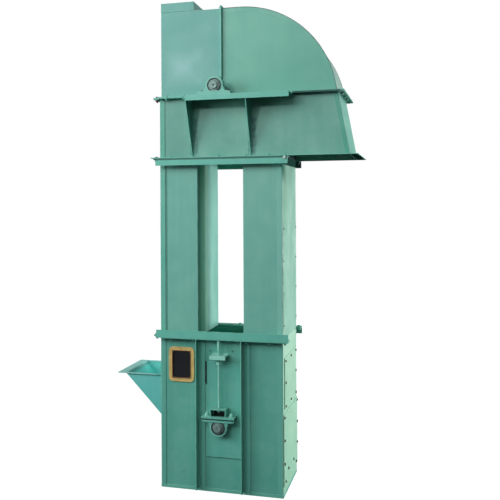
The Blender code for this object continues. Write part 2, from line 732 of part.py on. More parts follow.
def hood_left():
    """The hood's square half: one folded cover, open below and to the seam."""
    left = -HALF_WIDTH + HOOD_LEFT_STEP
    right = SEAM_X - SEAT_GAP / 2
    shape = bmesh.new()
    bmesh.ops.create_cube(shape, size=1.0)
    size = Vector((right - left, 2 * OUTER_Y, HOOD_TOP - HOOD_BOTTOM))
    bmesh.ops.scale(shape, verts=shape.verts, vec=size)
    shape.normal_update()
    open_faces = [face for face in shape.faces if face.normal.x > 0.9 or face.normal.z < -0.9]
    bmesh.ops.delete(shape, geom=open_faces, context="FACES")
    mesh = bpy.data.meshes.new("hood_left_cover")
    shape.to_mesh(mesh)
    shape.free()
    place = Matrix.Translation(Vector(((left + right) / 2, 0, (HOOD_TOP + HOOD_BOTTOM) / 2)))
    cover = add("hood_left_cover", mesh, PAINT, place)
    wall = cover.modifiers.new("wall", "SOLIDIFY")
    wall.thickness = SHEET
    wall.offset = -1.0
    wall.use_even_offset = True
    return cut(cover, shaft_notch("left_notch_cutter"))


def hood_right():
    """The hood's round half: two flat sides under a curved cover that laps over them."""
    centre = (HOOD_ARC_CENTRE_X, HOOD_ARC_CENTRE_Z)
    inner_radius = HOOD_ARC_RADIUS - SHEET - SEAT_GAP
    rise = HOOD_BOTTOM - centre[1]
    start = math.degrees(math.asin(rise / inner_radius))
    seam = SEAM_X + SEAT_GAP / 2
    outline = [(seam, HOOD_BOTTOM)] + arc(centre, inner_radius, start, 90, HOOD_ARC_STEPS)
    outline += [(seam, centre[1] + inner_radius)]
    for label, side in (("front", -1), ("back", 1)):
        name = "hood_right_" + label
        sheet = flat_shape(name, [outline], (side * PANEL_IN, side * PANEL_OUT), "XZ", PAINT)
        cut(sheet, shaft_notch(label + "_notch_cutter"))
    curved_cover(centre, seam)


def curved_cover(centre, seam):
    """The curved sheet with its edges folded over both sides: a channel spun round the arc."""
    lap_radius = HOOD_ARC_RADIUS - HOOD_LAP_WIDTH
    shape = bmesh.new()
    section = [(-OUTER_Y, lap_radius), (-OUTER_Y, HOOD_ARC_RADIUS), (OUTER_Y, HOOD_ARC_RADIUS),
               (OUTER_Y, lap_radius)]
    verts = [shape.verts.new((seam, y, centre[1] + radius)) for y, radius in section]
    edges = [shape.edges.new(pair) for pair in zip(verts, verts[1:])]
    straight = bmesh.ops.extrude_edge_only(shape, edges=edges)["geom"]
    ends = [item for item in straight if isinstance(item, bmesh.types.BMVert)]
    bmesh.ops.translate(shape, verts=ends, vec=(centre[0] - seam, 0, 0))
    edge_ring = [item for item in straight if isinstance(item, bmesh.types.BMEdge)]
    rise = HOOD_BOTTOM - centre[1]
    sweep = math.pi / 2 - math.asin(rise / HOOD_ARC_RADIUS)
    bmesh.ops.spin(
        shape, geom=ends + edge_ring, cent=(centre[0], 0, centre[1]), axis=(0, 1, 0),
        angle=sweep, steps=HOOD_ARC_STEPS, use_merge=False, use_duplicate=False)
    bmesh.ops.remove_doubles(shape, verts=shape.verts, dist=0.00005)
    bmesh.ops.recalc_face_normals(shape, faces=shape.faces)
    top = max(shape.faces, key=lambda face: face.calc_center_median().z)
    if top.normal.z < 0:
        bmesh.ops.reverse_faces(shape, faces=shape.faces)
    mesh = bpy.data.meshes.new("hood_curved_cover")
    shape.to_mesh(mesh)
    shape.free()
    cover = add("hood_curved_cover", mesh, PAINT)
    wall = cover.modifiers.new("wall", "SOLIDIFY")
    wall.thickness = SHEET
    wall.offset = -1.0
    wall.use_even_offset = True
    settle(cover)
    trim_z = (SPLIT_Z - HOOD_HEIGHT, HOOD_BOTTOM)
    floor = box("curved_cover_trim", (0, 2 * HEAD_END_X), (-CASING_DEPTH, CASING_DEPTH), trim_z)
    cut(cover, floor)
    return cover


def seam_flange():
    """The bolted pair of flanges over the seam between the hood's halves."""
    inner_y = OUTER_Y + SEAT_GAP
    outer_y = OUTER_Y + SEAM_FLANGE_REACH
    inner_z = HOOD_TOP + SEAT_GAP
    outer_z = HOOD_TOP + SEAM_FLANGE_REACH
    foot = HEAD_SHAFT_Z + SEAM_FLANGE_LIFT
    outline = [
        (-outer_y, foot), (-inner_y, foot), (-inner_y, inner_z), (inner_y, inner_z), (inner_y, foot),
        (outer_y, foot), (outer_y, outer_z), (-outer_y, outer_z),
    ]
    half = SEAM_FLANGE_THICKNESS / 2
    flat_shape("hood_seam_flange", [outline], (SEAM_X - half, SEAM_X + half), "YZ", PAINT_DARK)


def top_hatch():
    """The raised box on the hood's square half: a shallow lid of sheet, open below."""
    left = -HALF_WIDTH + HOOD_LEFT_STEP
    bottom = HOOD_TOP + SEAT_GAP
    shape = bmesh.new()
    bmesh.ops.create_cube(shape, size=1.0)
    bmesh.ops.scale(shape, verts=shape.verts, vec=(HATCH_WIDTH, 2 * OUTER_Y, HATCH_HEIGHT))
    shape.normal_update()
    open_faces = [face for face in shape.faces if face.normal.z < -0.9]
    bmesh.ops.delete(shape, geom=open_faces, context="FACES")
    mesh = bpy.data.meshes.new("top_hatch")
    shape.to_mesh(mesh)
    shape.free()
    place = Matrix.Translation(Vector((left + HATCH_WIDTH / 2, 0, bottom + HATCH_HEIGHT / 2)))
    lid = add("top_hatch", mesh, PAINT, place)
    wall = lid.modifiers.new("wall", "SOLIDIFY")
    wall.thickness = SHEET
    wall.offset = -1.0
    wall.use_even_offset = True
    return lid


def bearing_shelf(label, side):
    """An angle shelf that carries a head bearing, on two tall gussets."""
    near = side * (PANEL_OUT + SEAT_GAP)
    far = side * (OUTER_Y + SHELF_REACH)
    lip = side * (OUTER_Y + SHELF_REACH - BAR_THICKNESS)
    top = SHELF_TOP
    under = top - BAR_THICKNESS
    profile = [
        (near, top), (far, top), (far, top - SHELF_LIP), (lip, top - SHELF_LIP), (lip, under),
        (near, under),
    ]
    shelf = flat_shape("bearing_shelf_" + label, [profile], (SHELF_LEFT, SHELF_RIGHT), "YZ", PAINT_DARK)
    foot = head_bottom() + BAR_THICKNESS + SEAT_GAP
    root = top - GUSSET_SEAT
    gusset = [(near, foot), (lip, top - SHELF_LIP), (lip, root), (near, root)]
    pieces = []
    for index, left in enumerate((SHELF_LEFT, SHELF_LEFT + GUSSET_SPACING)):
        x = (left, left + GUSSET_THICKNESS)
        pieces.append(flat_shape("gusset_%s_%d" % (label, index), [gusset], x, "YZ"))
    return weld(shelf, pieces)


def pillow_block(name, centre, up):
    """A cast pillow block on its foot, or hung upside down: foot, shoulders, round housing and
    the outer ring of its insert, bored for the inner ring."""
    x, y, z = centre
    shoulder = BLOCK_HOUSING_RADIUS * 1.32
    foot_end = BLOCK_LENGTH / 2
    foot_z = -BLOCK_HEIGHT
    bore = circle((x, z), RACE_DIAMETER / 2 + RUNNING_GAP)

    def turn(points):
        return [(x + u, z + up * v) for u, v in points]

    foot = turn([
        (-foot_end, foot_z), (foot_end, foot_z), (foot_end, foot_z + BLOCK_FOOT * 0.75),
        (foot_end * 0.72, foot_z + BLOCK_FOOT), (-foot_end * 0.72, foot_z + BLOCK_FOOT),
        (-foot_end, foot_z + BLOCK_FOOT * 0.75),
    ])
    block = flat_shape(name, [foot], (y - BLOCK_WIDTH / 2, y + BLOCK_WIDTH / 2), "XZ", PAINT_DARK)
    body = [(shoulder, foot_z + BLOCK_FOOT / 2)]
    body += arc((0.0, 0.0), BLOCK_HOUSING_RADIUS, -8, 188, ROUND_STEPS // 2)
    body += [(-shoulder, foot_z + BLOCK_FOOT / 2)]
    half = BLOCK_HOUSING_WIDTH / 2
    housing = flat_shape(name + "_housing", [turn(body), bore], (y - half, y + half), "XZ")
    half = INSERT_WIDTH / 2
    ring = [circle((x, z), INSERT_DIAMETER / 2), bore]
    insert = flat_shape(name + "_ring", ring, (y - half, y + half), "XZ")
    return weld(block, [housing, insert])


def shaft(name, height, bearing_y, back_length):
    """A shaft with the inner ring of each bearing on it."""
    radius = SHAFT_DIAMETER / 2
    race = RACE_DIAMETER / 2
    half = RACE_LENGTH / 2
    front_end = -(bearing_y + half + SHAFT_END_PROUD)
    back_end = bearing_y + half + back_length
    profile = [(0.0, back_end), (radius, back_end)]
    for middle in (bearing_y, -bearing_y):
        profile += [(radius, middle + half), (race, middle + half), (race, middle - half), (radius, middle - half)]
    profile += [(radius, front_end), (0.0, front_end)]
    place = Matrix.Translation(Vector((0, 0, height))) @ ALONG_Y
    return turned(name, profile, place, SHAFT_STEEL)


def pulley(name, height):
    """A crowned drum on one web and a hub, turned half a step so that its edges meet the middle
    of the belt's flats."""
    bore = SHAFT_DIAMETER / 2 + SEAT_GAP
    half = PULLEY_WIDTH / 2
    rim = PULLEY_RADIUS - PULLEY_RIM
    web = PULLEY_WEB / 2
    hub = PULLEY_HUB_LENGTH / 2
    profile = [
        (PULLEY_RADIUS, half), (PULLEY_RADIUS + PULLEY_CROWN, 0.0), (PULLEY_RADIUS, -half),
        (rim, -half), (rim, -web), (PULLEY_HUB_RADIUS, -web), (PULLEY_HUB_RADIUS, -hub), (bore, -hub),
        (bore, hub), (PULLEY_HUB_RADIUS, hub), (PULLEY_HUB_RADIUS, web), (rim, web), (rim, half),
    ]
    half_step = Matrix.Rotation(math.pi / ROUND_STEPS, 4, "Z")
    place = Matrix.Translation(Vector((0, 0, height))) @ ALONG_Y @ half_step
    return turned(name, profile, place, PULLEY_STEEL, closed=True)


def belt_loop(radius):
    """The belt's outline at a radius round both pulleys."""
    steps = ROUND_STEPS // 2
    top = arc((0.0, HEAD_SHAFT_Z), radius, 0, 180, steps)
    bottom = arc((0.0, BELT_LOW_Z), radius, 180, 360, steps)
    return top + bottom


def belt_place(distance):
    """Point on the belt's outer face, outward direction and direction of travel, at a distance
    along the loop: up the feed side, over the head and down the other."""
    radius = BELT_OUTER_RADIUS
    run = HEAD_SHAFT_Z - BELT_LOW_Z
    turn = math.pi * radius
    if distance < run:
        return Vector((-radius, 0, BELT_LOW_Z + distance)), Vector((-1, 0, 0)), Vector((0, 0, 1))
    distance -= run
    if distance < turn:
        angle = math.pi - distance / radius
        out = Vector((math.cos(angle), 0, math.sin(angle)))
        return Vector((0, 0, HEAD_SHAFT_Z)) + out * radius, out, Vector((out.z, 0, -out.x))
    distance -= turn
    if distance < run:
        return Vector((radius, 0, HEAD_SHAFT_Z - distance)), Vector((1, 0, 0)), Vector((0, 0, -1))
    distance -= run
    angle = -distance / radius
    out = Vector((math.cos(angle), 0, math.sin(angle)))
    return Vector((0, 0, BELT_LOW_Z)) + out * radius, out, Vector((out.z, 0, -out.x))


def bucket_mesh():
    """One pressed bucket: local X points away from the belt and local Z along its travel."""
    shape = bmesh.new()
    bmesh.ops.create_cube(shape, size=1.0)
    for vert in shape.verts:
        at_front = vert.co.x > 0
        if vert.co.z > 0:
            x = BUCKET_PROJECTION if at_front else -BUCKET_SEAT
            z = BUCKET_LIP_TOP if at_front else BUCKET_BACK_TOP
        else:
            x = BUCKET_PROJECTION * BUCKET_BOTTOM_SHARE if at_front else -BUCKET_SEAT
            z = BUCKET_BOTTOM
        vert.co = (x, math.copysign(BUCKET_WIDTH / 2, vert.co.y), z)
    shape.normal_update()
    mouth = max(shape.faces, key=lambda face: face.calc_center_median().z)
    bmesh.ops.delete(shape, geom=[mouth], context="FACES")
    mesh = bpy.data.meshes.new("bucket")
    shape.to_mesh(mesh)
    shape.free()
    return mesh


def belt():
    """The belt as one loop with its buckets bolted on."""
    loops = [belt_loop(BELT_OUTER_RADIUS), belt_loop(BELT_INNER_RADIUS)]
    half = BELT_WIDTH / 2
    band = flat_shape("bucket_belt", loops, (-half, half), "XZ", BELT_RUBBER)
    length = 2 * (HEAD_SHAFT_Z - BELT_LOW_Z) + 2 * math.pi * BELT_OUTER_RADIUS
    mesh = bucket_mesh()
    buckets = []
    for index in range(BUCKET_COUNT):
        point, out, travel = belt_place(length * (index + 0.5) / BUCKET_COUNT)
        side = travel.cross(out)
        turn = Matrix((out, side, travel)).transposed().to_4x4()
        bucket = add("bucket_%d" % index, mesh.copy(), None, Matrix.Translation(point) @ turn)
        wall = bucket.modifiers.new("wall", "SOLIDIFY")
        wall.thickness = BUCKET_WALL
        wall.offset = -1.0
        wall.use_even_offset = True
        settle(bucket)
        buckets.append(bucket)
    return weld(band, buckets)


def under_flange(side):
    """Lowest height of the boot's top flange on one side, where its back bar hangs down."""
    drop = BAR_THICKNESS if side < 0 else FLANGE_LIP
    return BOOT_HEIGHT - 2 * SEAT_GAP - drop


def guides():
    """Angle irons that stiffen the boot's sheets and guide the take-up plates. All of one hand,
    so each has its foot on its right."""
    bottom = wall_bottom()
    for face, face_side in (("front", -1), ("back", 1)):
        top = under_flange(face_side)
        near = face_side * (PANEL_OUT + SEAT_GAP)
        foot = near + face_side * GUIDE_THICKNESS
        far = face_side * (OUTER_Y + GUIDE_REACH - SHEET)
        for label, web in (("left", -LEG_INNER_X), ("right", LEG_INNER_X - GUIDE_THICKNESS)):
            web_end = web + GUIDE_THICKNESS
            toe = web + GUIDE_FOOT
            profile = [(web, near), (web, far), (web_end, far), (web_end, foot), (toe, foot), (toe, near)]
            name = "guide_%s_%s" % (face, label)
            flat_shape(name, [profile], (bottom, top), "XY", PAINT)


def carriage(label, side):
    """A take-up carriage: the plate that covers the slot, the ledge that the bearing hangs from
    and the yoke that the screw draws on."""
    x = (GUIDE_FOOT + MOVING_CLEARANCE - LEG_INNER_X, LEG_INNER_X - GUIDE_THICKNESS - MOVING_CLEARANCE)
    z = (BOOT_SHAFT_Z - SLIDE_PLATE_BOTTOM, SLIDE_PLATE_TOP)
    hole = circle((0.0, BOOT_SHAFT_Z), SHAFT_DIAMETER / 2 + 2 * RUNNING_GAP)
    y = (side * SLIDE_PLATE_IN, side * SLIDE_PLATE_OUT)
    name = "takeup_carriage_" + label
    plate = flat_shape(name, [rectangle(x, z), hole], y, "XZ", PAINT)
    inside = side * (SLIDE_PLATE_OUT - SLIDE_PLATE_THICKNESS / 2)
    ledge_y = sorted((inside, side * (SLIDE_PLATE_OUT + LEDGE_REACH)))
    ledge_half = BLOCK_LENGTH / 2
    ledge = box(name + "_ledge", (-ledge_half, ledge_half), ledge_y, (LEDGE_BOTTOM, LEDGE_TOP))
    half = YOKE_WIDTH / 2
    top = LEDGE_TOP + YOKE_HEIGHT
    inner = half - YOKE_WALL
    arch = [
        (-half, LEDGE_TOP - LEDGE_THICKNESS / 2), (-inner, LEDGE_TOP - LEDGE_THICKNESS / 2),
        (-inner, top - YOKE_WALL), (inner, top - YOKE_WALL),
        (inner, LEDGE_TOP - LEDGE_THICKNESS / 2), (half, LEDGE_TOP - LEDGE_THICKNESS / 2),
        (half, top), (-half, top),
    ]
    yoke_y = (side * TAKEUP_Y - YOKE_DEPTH / 2, side * TAKEUP_Y + YOKE_DEPTH / 2)
    yoke = flat_shape(name + "_yoke", [arch], yoke_y, "XZ")
    weld(plate, [ledge, yoke])
    bore = circle((0.0, side * TAKEUP_Y), SCREW_RADIUS + 2 * RUNNING_GAP, ROUND_STEPS // 2)
    bore_z = (top - 2 * YOKE_WALL, top + YOKE_WALL)
    return cut(plate, flat_shape(name + "_bore_cutter", [bore], bore_z, "XY"))


def screw_bracket(label, side):
    """The angle that the take-up screw passes through."""
    near = side * (PANEL_OUT + SEAT_GAP)
    far = side * (TAKEUP_Y + YOKE_DEPTH / 2 + BRACKET_LIP_THICKNESS)
    lip = side * (TAKEUP_Y + YOKE_DEPTH / 2)
    under = BRACKET_TOP - BRACKET_THICKNESS
    profile = [
        (near, BRACKET_TOP), (far, BRACKET_TOP), (far, BRACKET_TOP - BRACKET_LIP),
        (lip, BRACKET_TOP - BRACKET_LIP), (lip, under), (near, under),
    ]
    half = BRACKET_WIDTH / 2
    name = "screw_bracket_" + label
    bracket = flat_shape(name, [profile], (-half, half), "YZ", PAINT)
    bore = circle((0.0, side * TAKEUP_Y), SCREW_RADIUS + RUNNING_GAP, ROUND_STEPS // 2)
    bore_z = (under - BRACKET_THICKNESS, BRACKET_TOP + BRACKET_THICKNESS)
    return cut(bracket, flat_shape(name + "_bore_cutter", [bore], bore_z, "XY"))


def takeup_screw(label, side):
    """The take-up screw: a thick head well over the bracket, its thread, held in the yoke, and
    a lock nut under the bracket."""
    top = under_flange(side) - MOVING_CLEARANCE
    collar = BRACKET_TOP + TAKEUP_TRAVEL + SCREW_HEAD_LIFT
    tip = LEDGE_TOP + YOKE_HEIGHT - YOKE_WALL - SCREW_TIP
    profile = [
        (0.0, top), (SCREW_HEAD_RADIUS, top), (SCREW_HEAD_RADIUS, collar), (SCREW_RADIUS, collar),
        (SCREW_RADIUS, tip), (0.0, tip),
    ]
    place = Matrix.Translation(Vector((0, side * TAKEUP_Y, 0)))
    screw = turned("takeup_screw_" + label, profile, place, SHAFT_STEEL, steps=ROUND_STEPS // 2)
    nut_top = BRACKET_TOP - BRACKET_THICKNESS - SCREW_NUT_DROP
    corner = SCREW_NUT_SIZE / 2 / math.cos(math.radians(30))
    hexagon = circle((0.0, side * TAKEUP_Y), corner, 6)
    nut = flat_shape("screw_nut_" + label, [hexagon], (nut_top - SCREW_NUT_HEIGHT, nut_top), "XY")
    return weld(screw, [nut])


def takeups():
    """Both take-ups, whose moving pieces ride on one carriage that slides up and down."""
    slide = bpy.data.objects.new("takeup_slide", None)
    PARTS.objects.link(slide)
    slide.location = (0, 0, BOOT_SHAFT_Z)
    bpy.context.view_layer.update()
    for label, side in (("front", -1), ("back", 1)):
        bearing_place = (0, side * TAKEUP_Y, BOOT_SHAFT_Z)
        moving = [
            carriage(label, side), pillow_block("takeup_bearing_" + label, bearing_place, -1),
            takeup_screw(label, side),
        ]
        for obj in moving:
            place = obj.matrix_world.copy()
            obj.parent = slide
            obj.matrix_world = place
        screw_bracket(label, side)


def boot():
    """The boot's casing, its openings and their covers."""
    floor_pan()
    boot_side("boot_front_panel", -1, True)
    boot_side("boot_back_panel", 1, False)
    inlet_end()
    tail_end()
    tail_covers()
    boot_top_plate()
    window()
    hopper()
    guides()


def head():
    """The head's casing, hood and shelves."""
    head_side("head_front_panel", -1)
    head_side("head_back_panel", 1)
    end_channel("head_left_end", -1, head_bottom(), SHELF_TOP)
    discharge_end()
    head_inside()
    head_foot_flange()
    split_flanges()
    hood_left()
    hood_right()
    seam_flange()
    top_hatch()
    for label, side in (("front", -1), ("back", 1)):
        bearing_shelf(label, side)
        pillow_block("head_bearing_" + label, (0, side * HEAD_BEARING_Y, HEAD_SHAFT_Z), 1)


def drive():
    """The shafts, pulleys and belt."""
    shaft("head_shaft", HEAD_SHAFT_Z, HEAD_BEARING_Y, DRIVE_END_LENGTH)
    pulley("head_pulley", HEAD_SHAFT_Z)
    shaft("boot_shaft", BOOT_SHAFT_Z, TAKEUP_Y, SHAFT_END_PROUD)
    pulley("boot_pulley", BOOT_SHAFT_Z)
    belt()


boot()
leg_flanges()
leg("left", -1)
leg("right", 1)
head()
takeups()
drive()
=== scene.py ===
"""Looks for a belt bucket elevator: folded sheet in sea-green paint, bolted flanges, screw
take-ups, pillow blocks, and a belt with buckets inside.

Metres, +Z up, the front faces -Y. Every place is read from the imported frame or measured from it.
"""

import math
import random

import bmesh
import bpy
from mathutils import Matrix, Vector, noise


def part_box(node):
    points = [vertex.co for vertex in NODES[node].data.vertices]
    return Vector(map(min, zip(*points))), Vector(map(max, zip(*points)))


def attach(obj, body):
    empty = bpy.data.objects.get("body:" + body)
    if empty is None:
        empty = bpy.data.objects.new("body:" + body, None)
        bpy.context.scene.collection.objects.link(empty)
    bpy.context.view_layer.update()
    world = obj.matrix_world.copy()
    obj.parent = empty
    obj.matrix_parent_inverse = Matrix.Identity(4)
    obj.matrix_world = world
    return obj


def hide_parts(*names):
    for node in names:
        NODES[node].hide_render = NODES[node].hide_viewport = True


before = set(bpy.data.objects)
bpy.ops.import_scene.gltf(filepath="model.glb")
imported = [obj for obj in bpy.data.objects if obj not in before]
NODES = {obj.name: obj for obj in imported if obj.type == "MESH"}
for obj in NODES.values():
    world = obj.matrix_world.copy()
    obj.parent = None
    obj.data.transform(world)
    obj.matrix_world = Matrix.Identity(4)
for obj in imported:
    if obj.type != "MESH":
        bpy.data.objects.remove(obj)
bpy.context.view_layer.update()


# Boot floor
# A pressed steel pan: a plate with a low rim that the walls stand on, painted with the casing.
# The paint is sprayed enamel over sheet, lighter on folded and cut edges: partly thin paint, partly a
# painted highlight.

def join(tree, source, target):
    """Link a socket, or write a plain value into it."""
    if isinstance(source, bpy.types.NodeSocket):
        tree.links.new(source, target)
    else:
        target.default_value = source


def put(tree, kind, settings=None, **inputs):
    """Add a shader node, with its settings and its inputs by name."""
    made = tree.nodes.new(kind)
    for key, value in (settings or {}).items():
        setattr(made, key, value)
    for key, value in inputs.items():
        join(tree, value, made.inputs[key.replace("_", " ")])
    return made


def mix(tree, factor, first, second, blend="MIX"):
    """Mix two colours."""
    made = tree.nodes.new("ShaderNodeMix")
    made.data_type = "RGBA"
    made.blend_type = blend
    join(tree, factor, made.inputs[0])
    join(tree, first, made.inputs[6])
    join(tree, second, made.inputs[7])
    return made.outputs[2]


def sum_of(tree, operation, first, second=0.0, third=0.0):
    """One step of arithmetic on values."""
    made = tree.nodes.new("ShaderNodeMath")
    made.operation = operation
    for socket, value in zip(made.inputs, (first, second, third)):
        join(tree, value, socket)
    return made.outputs[0]


def product(tree, first, second):
    """Two values multiplied."""
    return sum_of(tree, "MULTIPLY", first, second)


def ramp(tree, value, low, high, to_low=0.0, to_high=1.0):
    """Stretch a value's range, clamped."""
    made = tree.nodes.new("ShaderNodeMapRange")
    for socket, item in zip(made.inputs, (value, low, high, to_low, to_high)):
        join(tree, item, socket)
    return made.outputs[0]


def cloud(tree, place, scale, detail=3.0, rough=0.55):
    """Soft noise at a scale."""
    made = put(tree, "ShaderNodeTexNoise", Vector=place, Scale=scale, Detail=detail, Roughness=rough)
    return made.outputs[0]


def own_place(tree):
    """Where a point lies on the object, in metres."""
    return put(tree, "ShaderNodeTexCoord").outputs["Object"]


def group(name, inputs, outputs):
    """An empty node group with named sockets."""
    tree = bpy.data.node_groups.new(name, "ShaderNodeTree")
    for label, kind, value in inputs:
        tree.interface.new_socket(label, in_out="INPUT", socket_type=kind).default_value = value
    for label, kind in outputs:
        tree.interface.new_socket(label, in_out="OUTPUT", socket_type=kind)
    return tree, tree.nodes.new("NodeGroupInput").outputs, tree.nodes.new("NodeGroupOutput").inputs


COLOUR = "NodeSocketColor"
NUMBER = "NodeSocketFloat"


def enamel_group():
    """Enamel's uneven tone, gloss and skin: broad cloudy patches, runs down the sheet, dust on
    top and the faint waves of thin sheet under it."""
    tree, given, out = group("enamel_film", [
        ("Paint", COLOUR, (0.1, 0.4, 0.3, 1)), ("Mottle", NUMBER, 0.5), ("Runs", NUMBER, 0.4),
        ("Dust", NUMBER, 0.3), ("Waves", NUMBER, 1.0),
    ], [("Color", COLOUR), ("Roughness", NUMBER), ("Height", NUMBER)])
    place = own_place(tree)
    broad = ramp(tree, cloud(tree, place, 2.6), 0.36, 0.66)
    patch = ramp(tree, cloud(tree, place, 11.0, 4.0), 0.42, 0.68)
    tall = put(tree, "ShaderNodeMapping", Vector=place, Scale=(16.0, 16.0, 0.9)).outputs[0]
    run = ramp(tree, cloud(tree, tall, 1.0, 4.0), 0.45, 0.72)
    deep = mix(tree, 1.0, given["Paint"], (0.66, 0.83, 0.84, 1), "MULTIPLY")
    pale = mix(tree, 0.10, given["Paint"], (0.75, 0.92, 0.95, 1))
    tone = mix(tree, product(tree, broad, given["Mottle"]), given["Paint"], deep)
    tone = mix(tree, product(tree, patch, product(tree, given["Mottle"], 0.5)), tone, pale)
    tone = mix(tree, product(tree, run, given["Runs"]), tone, deep)
    normal = put(tree, "ShaderNodeNewGeometry").outputs["Normal"]
    up = put(tree, "ShaderNodeSeparateXYZ", Vector=normal).outputs[2]
    settled = product(tree, ramp(tree, up, 0.6, 1.0), ramp(tree, cloud(tree, place, 30.0, 5.0), 0.35, 0.7))
    tone = mix(tree, product(tree, settled, given["Dust"]), tone, (0.52, 0.55, 0.47, 1))
    join(tree, tone, out["Color"])
    gloss = sum_of(tree, "MULTIPLY_ADD", broad, 0.10, 0.33)
    join(tree, sum_of(tree, "MULTIPLY_ADD", patch, 0.10, gloss), out["Roughness"])
    wave = product(tree, cloud(tree, place, 4.5, 1.0), 0.0045)
    peel = product(tree, cloud(tree, place, 260.0, 2.0), 0.00005)
    join(tree, sum_of(tree, "MULTIPLY_ADD", wave, given["Waves"], peel), out["Height"])
    return tree


def edge_highlight_group():
    """Where worked edges show lighter, partly thin paint and partly a painted highlight, with a few bare
    chips.
    """
    tree, given, out = group("edge_highlight_and_thin_paint", [
        ("Color", COLOUR, (0.1, 0.4, 0.3, 1)), ("Thin", NUMBER, 0.5), ("Chips", NUMBER, 0.15),
    ], [("Color", COLOUR)])
    place = own_place(tree)
    edge = put(tree, "ShaderNodeAttribute", {"attribute_name": "edge"}).outputs["Fac"]
    light = mix(tree, 0.35, given["Color"], (0.62, 0.95, 0.85, 1))
    thin = product(tree, product(tree, edge, given["Thin"]), ramp(tree, cloud(tree, place, 14.0), 0.3, 0.6))
    tone = mix(tree, thin, given["Color"], light)
    spots = ramp(tree, cloud(tree, place, 55.0, 4.0), 0.66, 0.70)
    chip = product(tree, product(tree, edge, spots), given["Chips"])
    join(tree, mix(tree, chip, tone, (0.16, 0.15, 0.14, 1)), out["Color"])
    return tree


def patch_group():
    """Where a point lies in a soft-edged block with a ragged outline."""
    tree, given, out = group("ragged_patch", [
        ("Centre", "NodeSocketVector", (0, 0, 0)), ("Half", "NodeSocketVector", (1, 1, 1)),
        ("Soft", NUMBER, 0.02), ("Ragged", NUMBER, 1.0), ("Grain", NUMBER, 40.0),
    ], [("Mask", NUMBER)])
    place = own_place(tree)
    away = put(tree, "ShaderNodeVectorMath", {"operation": "SUBTRACT"})
    join(tree, place, away.inputs[0])
    join(tree, given["Centre"], away.inputs[1])
    size = put(tree, "ShaderNodeVectorMath", {"operation": "ABSOLUTE"})
    join(tree, away.outputs[0], size.inputs[0])
    inside = put(tree, "ShaderNodeVectorMath", {"operation": "SUBTRACT"})
    join(tree, given["Half"], inside.inputs[0])
    join(tree, size.outputs[0], inside.inputs[1])
    parts = put(tree, "ShaderNodeSeparateXYZ", Vector=inside.outputs[0]).outputs
    least = sum_of(tree, "MINIMUM", sum_of(tree, "MINIMUM", parts[0], parts[1]), parts[2])
    noisy = sum_of(tree, "SUBTRACT", cloud(tree, place, given["Grain"], 5.0, 0.65), 0.5)
    shifted = sum_of(tree, "MULTIPLY_ADD", noisy, product(tree, given["Soft"], given["Ragged"]), least)
    join(tree, ramp(tree, shifted, 0.0, given["Soft"]), out["Mask"])
    return tree


ENAMEL = enamel_group()
EDGE_HIGHLIGHT_AND_WEAR = edge_highlight_group()
RAGGED_PATCH = patch_group()
ENAMEL_SHINE = 0.34
BARE_CHIPS = 0.25
SIDES = (-1, 1)
FACES = (("front", -1), ("back", 1))
JOIN_WITHIN = 0.00002
FLAT_WITHIN = 0.3
SHARP_FROM = 50


def on_both_faces(x, y, z, half):
    """Where a patch of paint lies on the front, and the same on the back."""
    return [((x, side * y, z), half) for side in SIDES]


def stain_or_paint_shade(material, colour, patches, strength, soft, ragged, grain, matt=False):
    """Darken or tint a painted finish in places, for real marks and for painted light and shade, and take
    its shine off there if the patch is matt. Each patch is a centre and a half size."""
    tree = material.node_tree
    shader = tree.nodes["Principled BSDF"]
    tone = shader.inputs["Base Color"].links[0].from_socket
    for centre, half in patches:
        mask = put(
            tree, "ShaderNodeGroup", {"node_tree": RAGGED_PATCH}, Centre=centre, Half=half, Soft=soft,
            Ragged=ragged, Grain=grain).outputs[0]
        tone = mix(tree, product(tree, mask, strength), tone, (*colour, 1))
        if matt:
            shine = shader.inputs["Specular IOR Level"]
            before = shine.links[0].from_socket if shine.is_linked else shine.default_value
            join(tree, product(tree, before, sum_of(tree, "SUBTRACT", 1.0, mask)), shine)
    join(tree, tone, shader.inputs["Base Color"])


def new_finish(name):
    """An empty material with its tree and its shader."""
    material = bpy.data.materials.new(name)
    material.use_nodes = True
    return material, material.node_tree, material.node_tree.nodes["Principled BSDF"]


def enamel(name, paint, mottle=0.5, runs=0.35, dust=0.25, waves=1.0, thin=0.6, shine=ENAMEL_SHINE):
    """A painted finish."""
    material, tree, shader = new_finish(name)
    film = put(
        tree, "ShaderNodeGroup", {"node_tree": ENAMEL}, Paint=(*paint, 1), Mottle=mottle, Runs=runs,
        Dust=dust, Waves=waves)
    highlighted_and_worn = put(
        tree, "ShaderNodeGroup", {"node_tree": EDGE_HIGHLIGHT_AND_WEAR}, Color=film.outputs["Color"], Thin=thin,
        Chips=BARE_CHIPS)
    bump = put(tree, "ShaderNodeBump", Height=film.outputs["Height"], Distance=1.0, Strength=1.0)
    shader.inputs["Specular IOR Level"].default_value = shine
    join(tree, highlighted_and_worn.outputs["Color"], shader.inputs["Base Color"])
    join(tree, film.outputs["Roughness"], shader.inputs["Roughness"])
    join(tree, bump.outputs["Normal"], shader.inputs["Normal"])
    return material


def node_shape(*names):
    """A bmesh of frame nodes with their loose triangles merged into whole faces."""
    shape = bmesh.new()
    for name in names:
        shape.from_mesh(NODES[name].data)
    bmesh.ops.remove_doubles(shape, verts=shape.verts, dist=JOIN_WITHIN)
    bmesh.ops.dissolve_limit(
        shape, angle_limit=math.radians(FLAT_WITHIN), verts=shape.verts, edges=shape.edges)
    return shape


def round_off(shape, edges, width, segments):
    """Round or chamfer edges, and return the new faces."""
    return bmesh.ops.bevel(
        shape, geom=edges, offset=width, offset_type="OFFSET", segments=segments, profile=0.5,
        affect="EDGES", clamp_overlap=True, material=-1)["faces"]


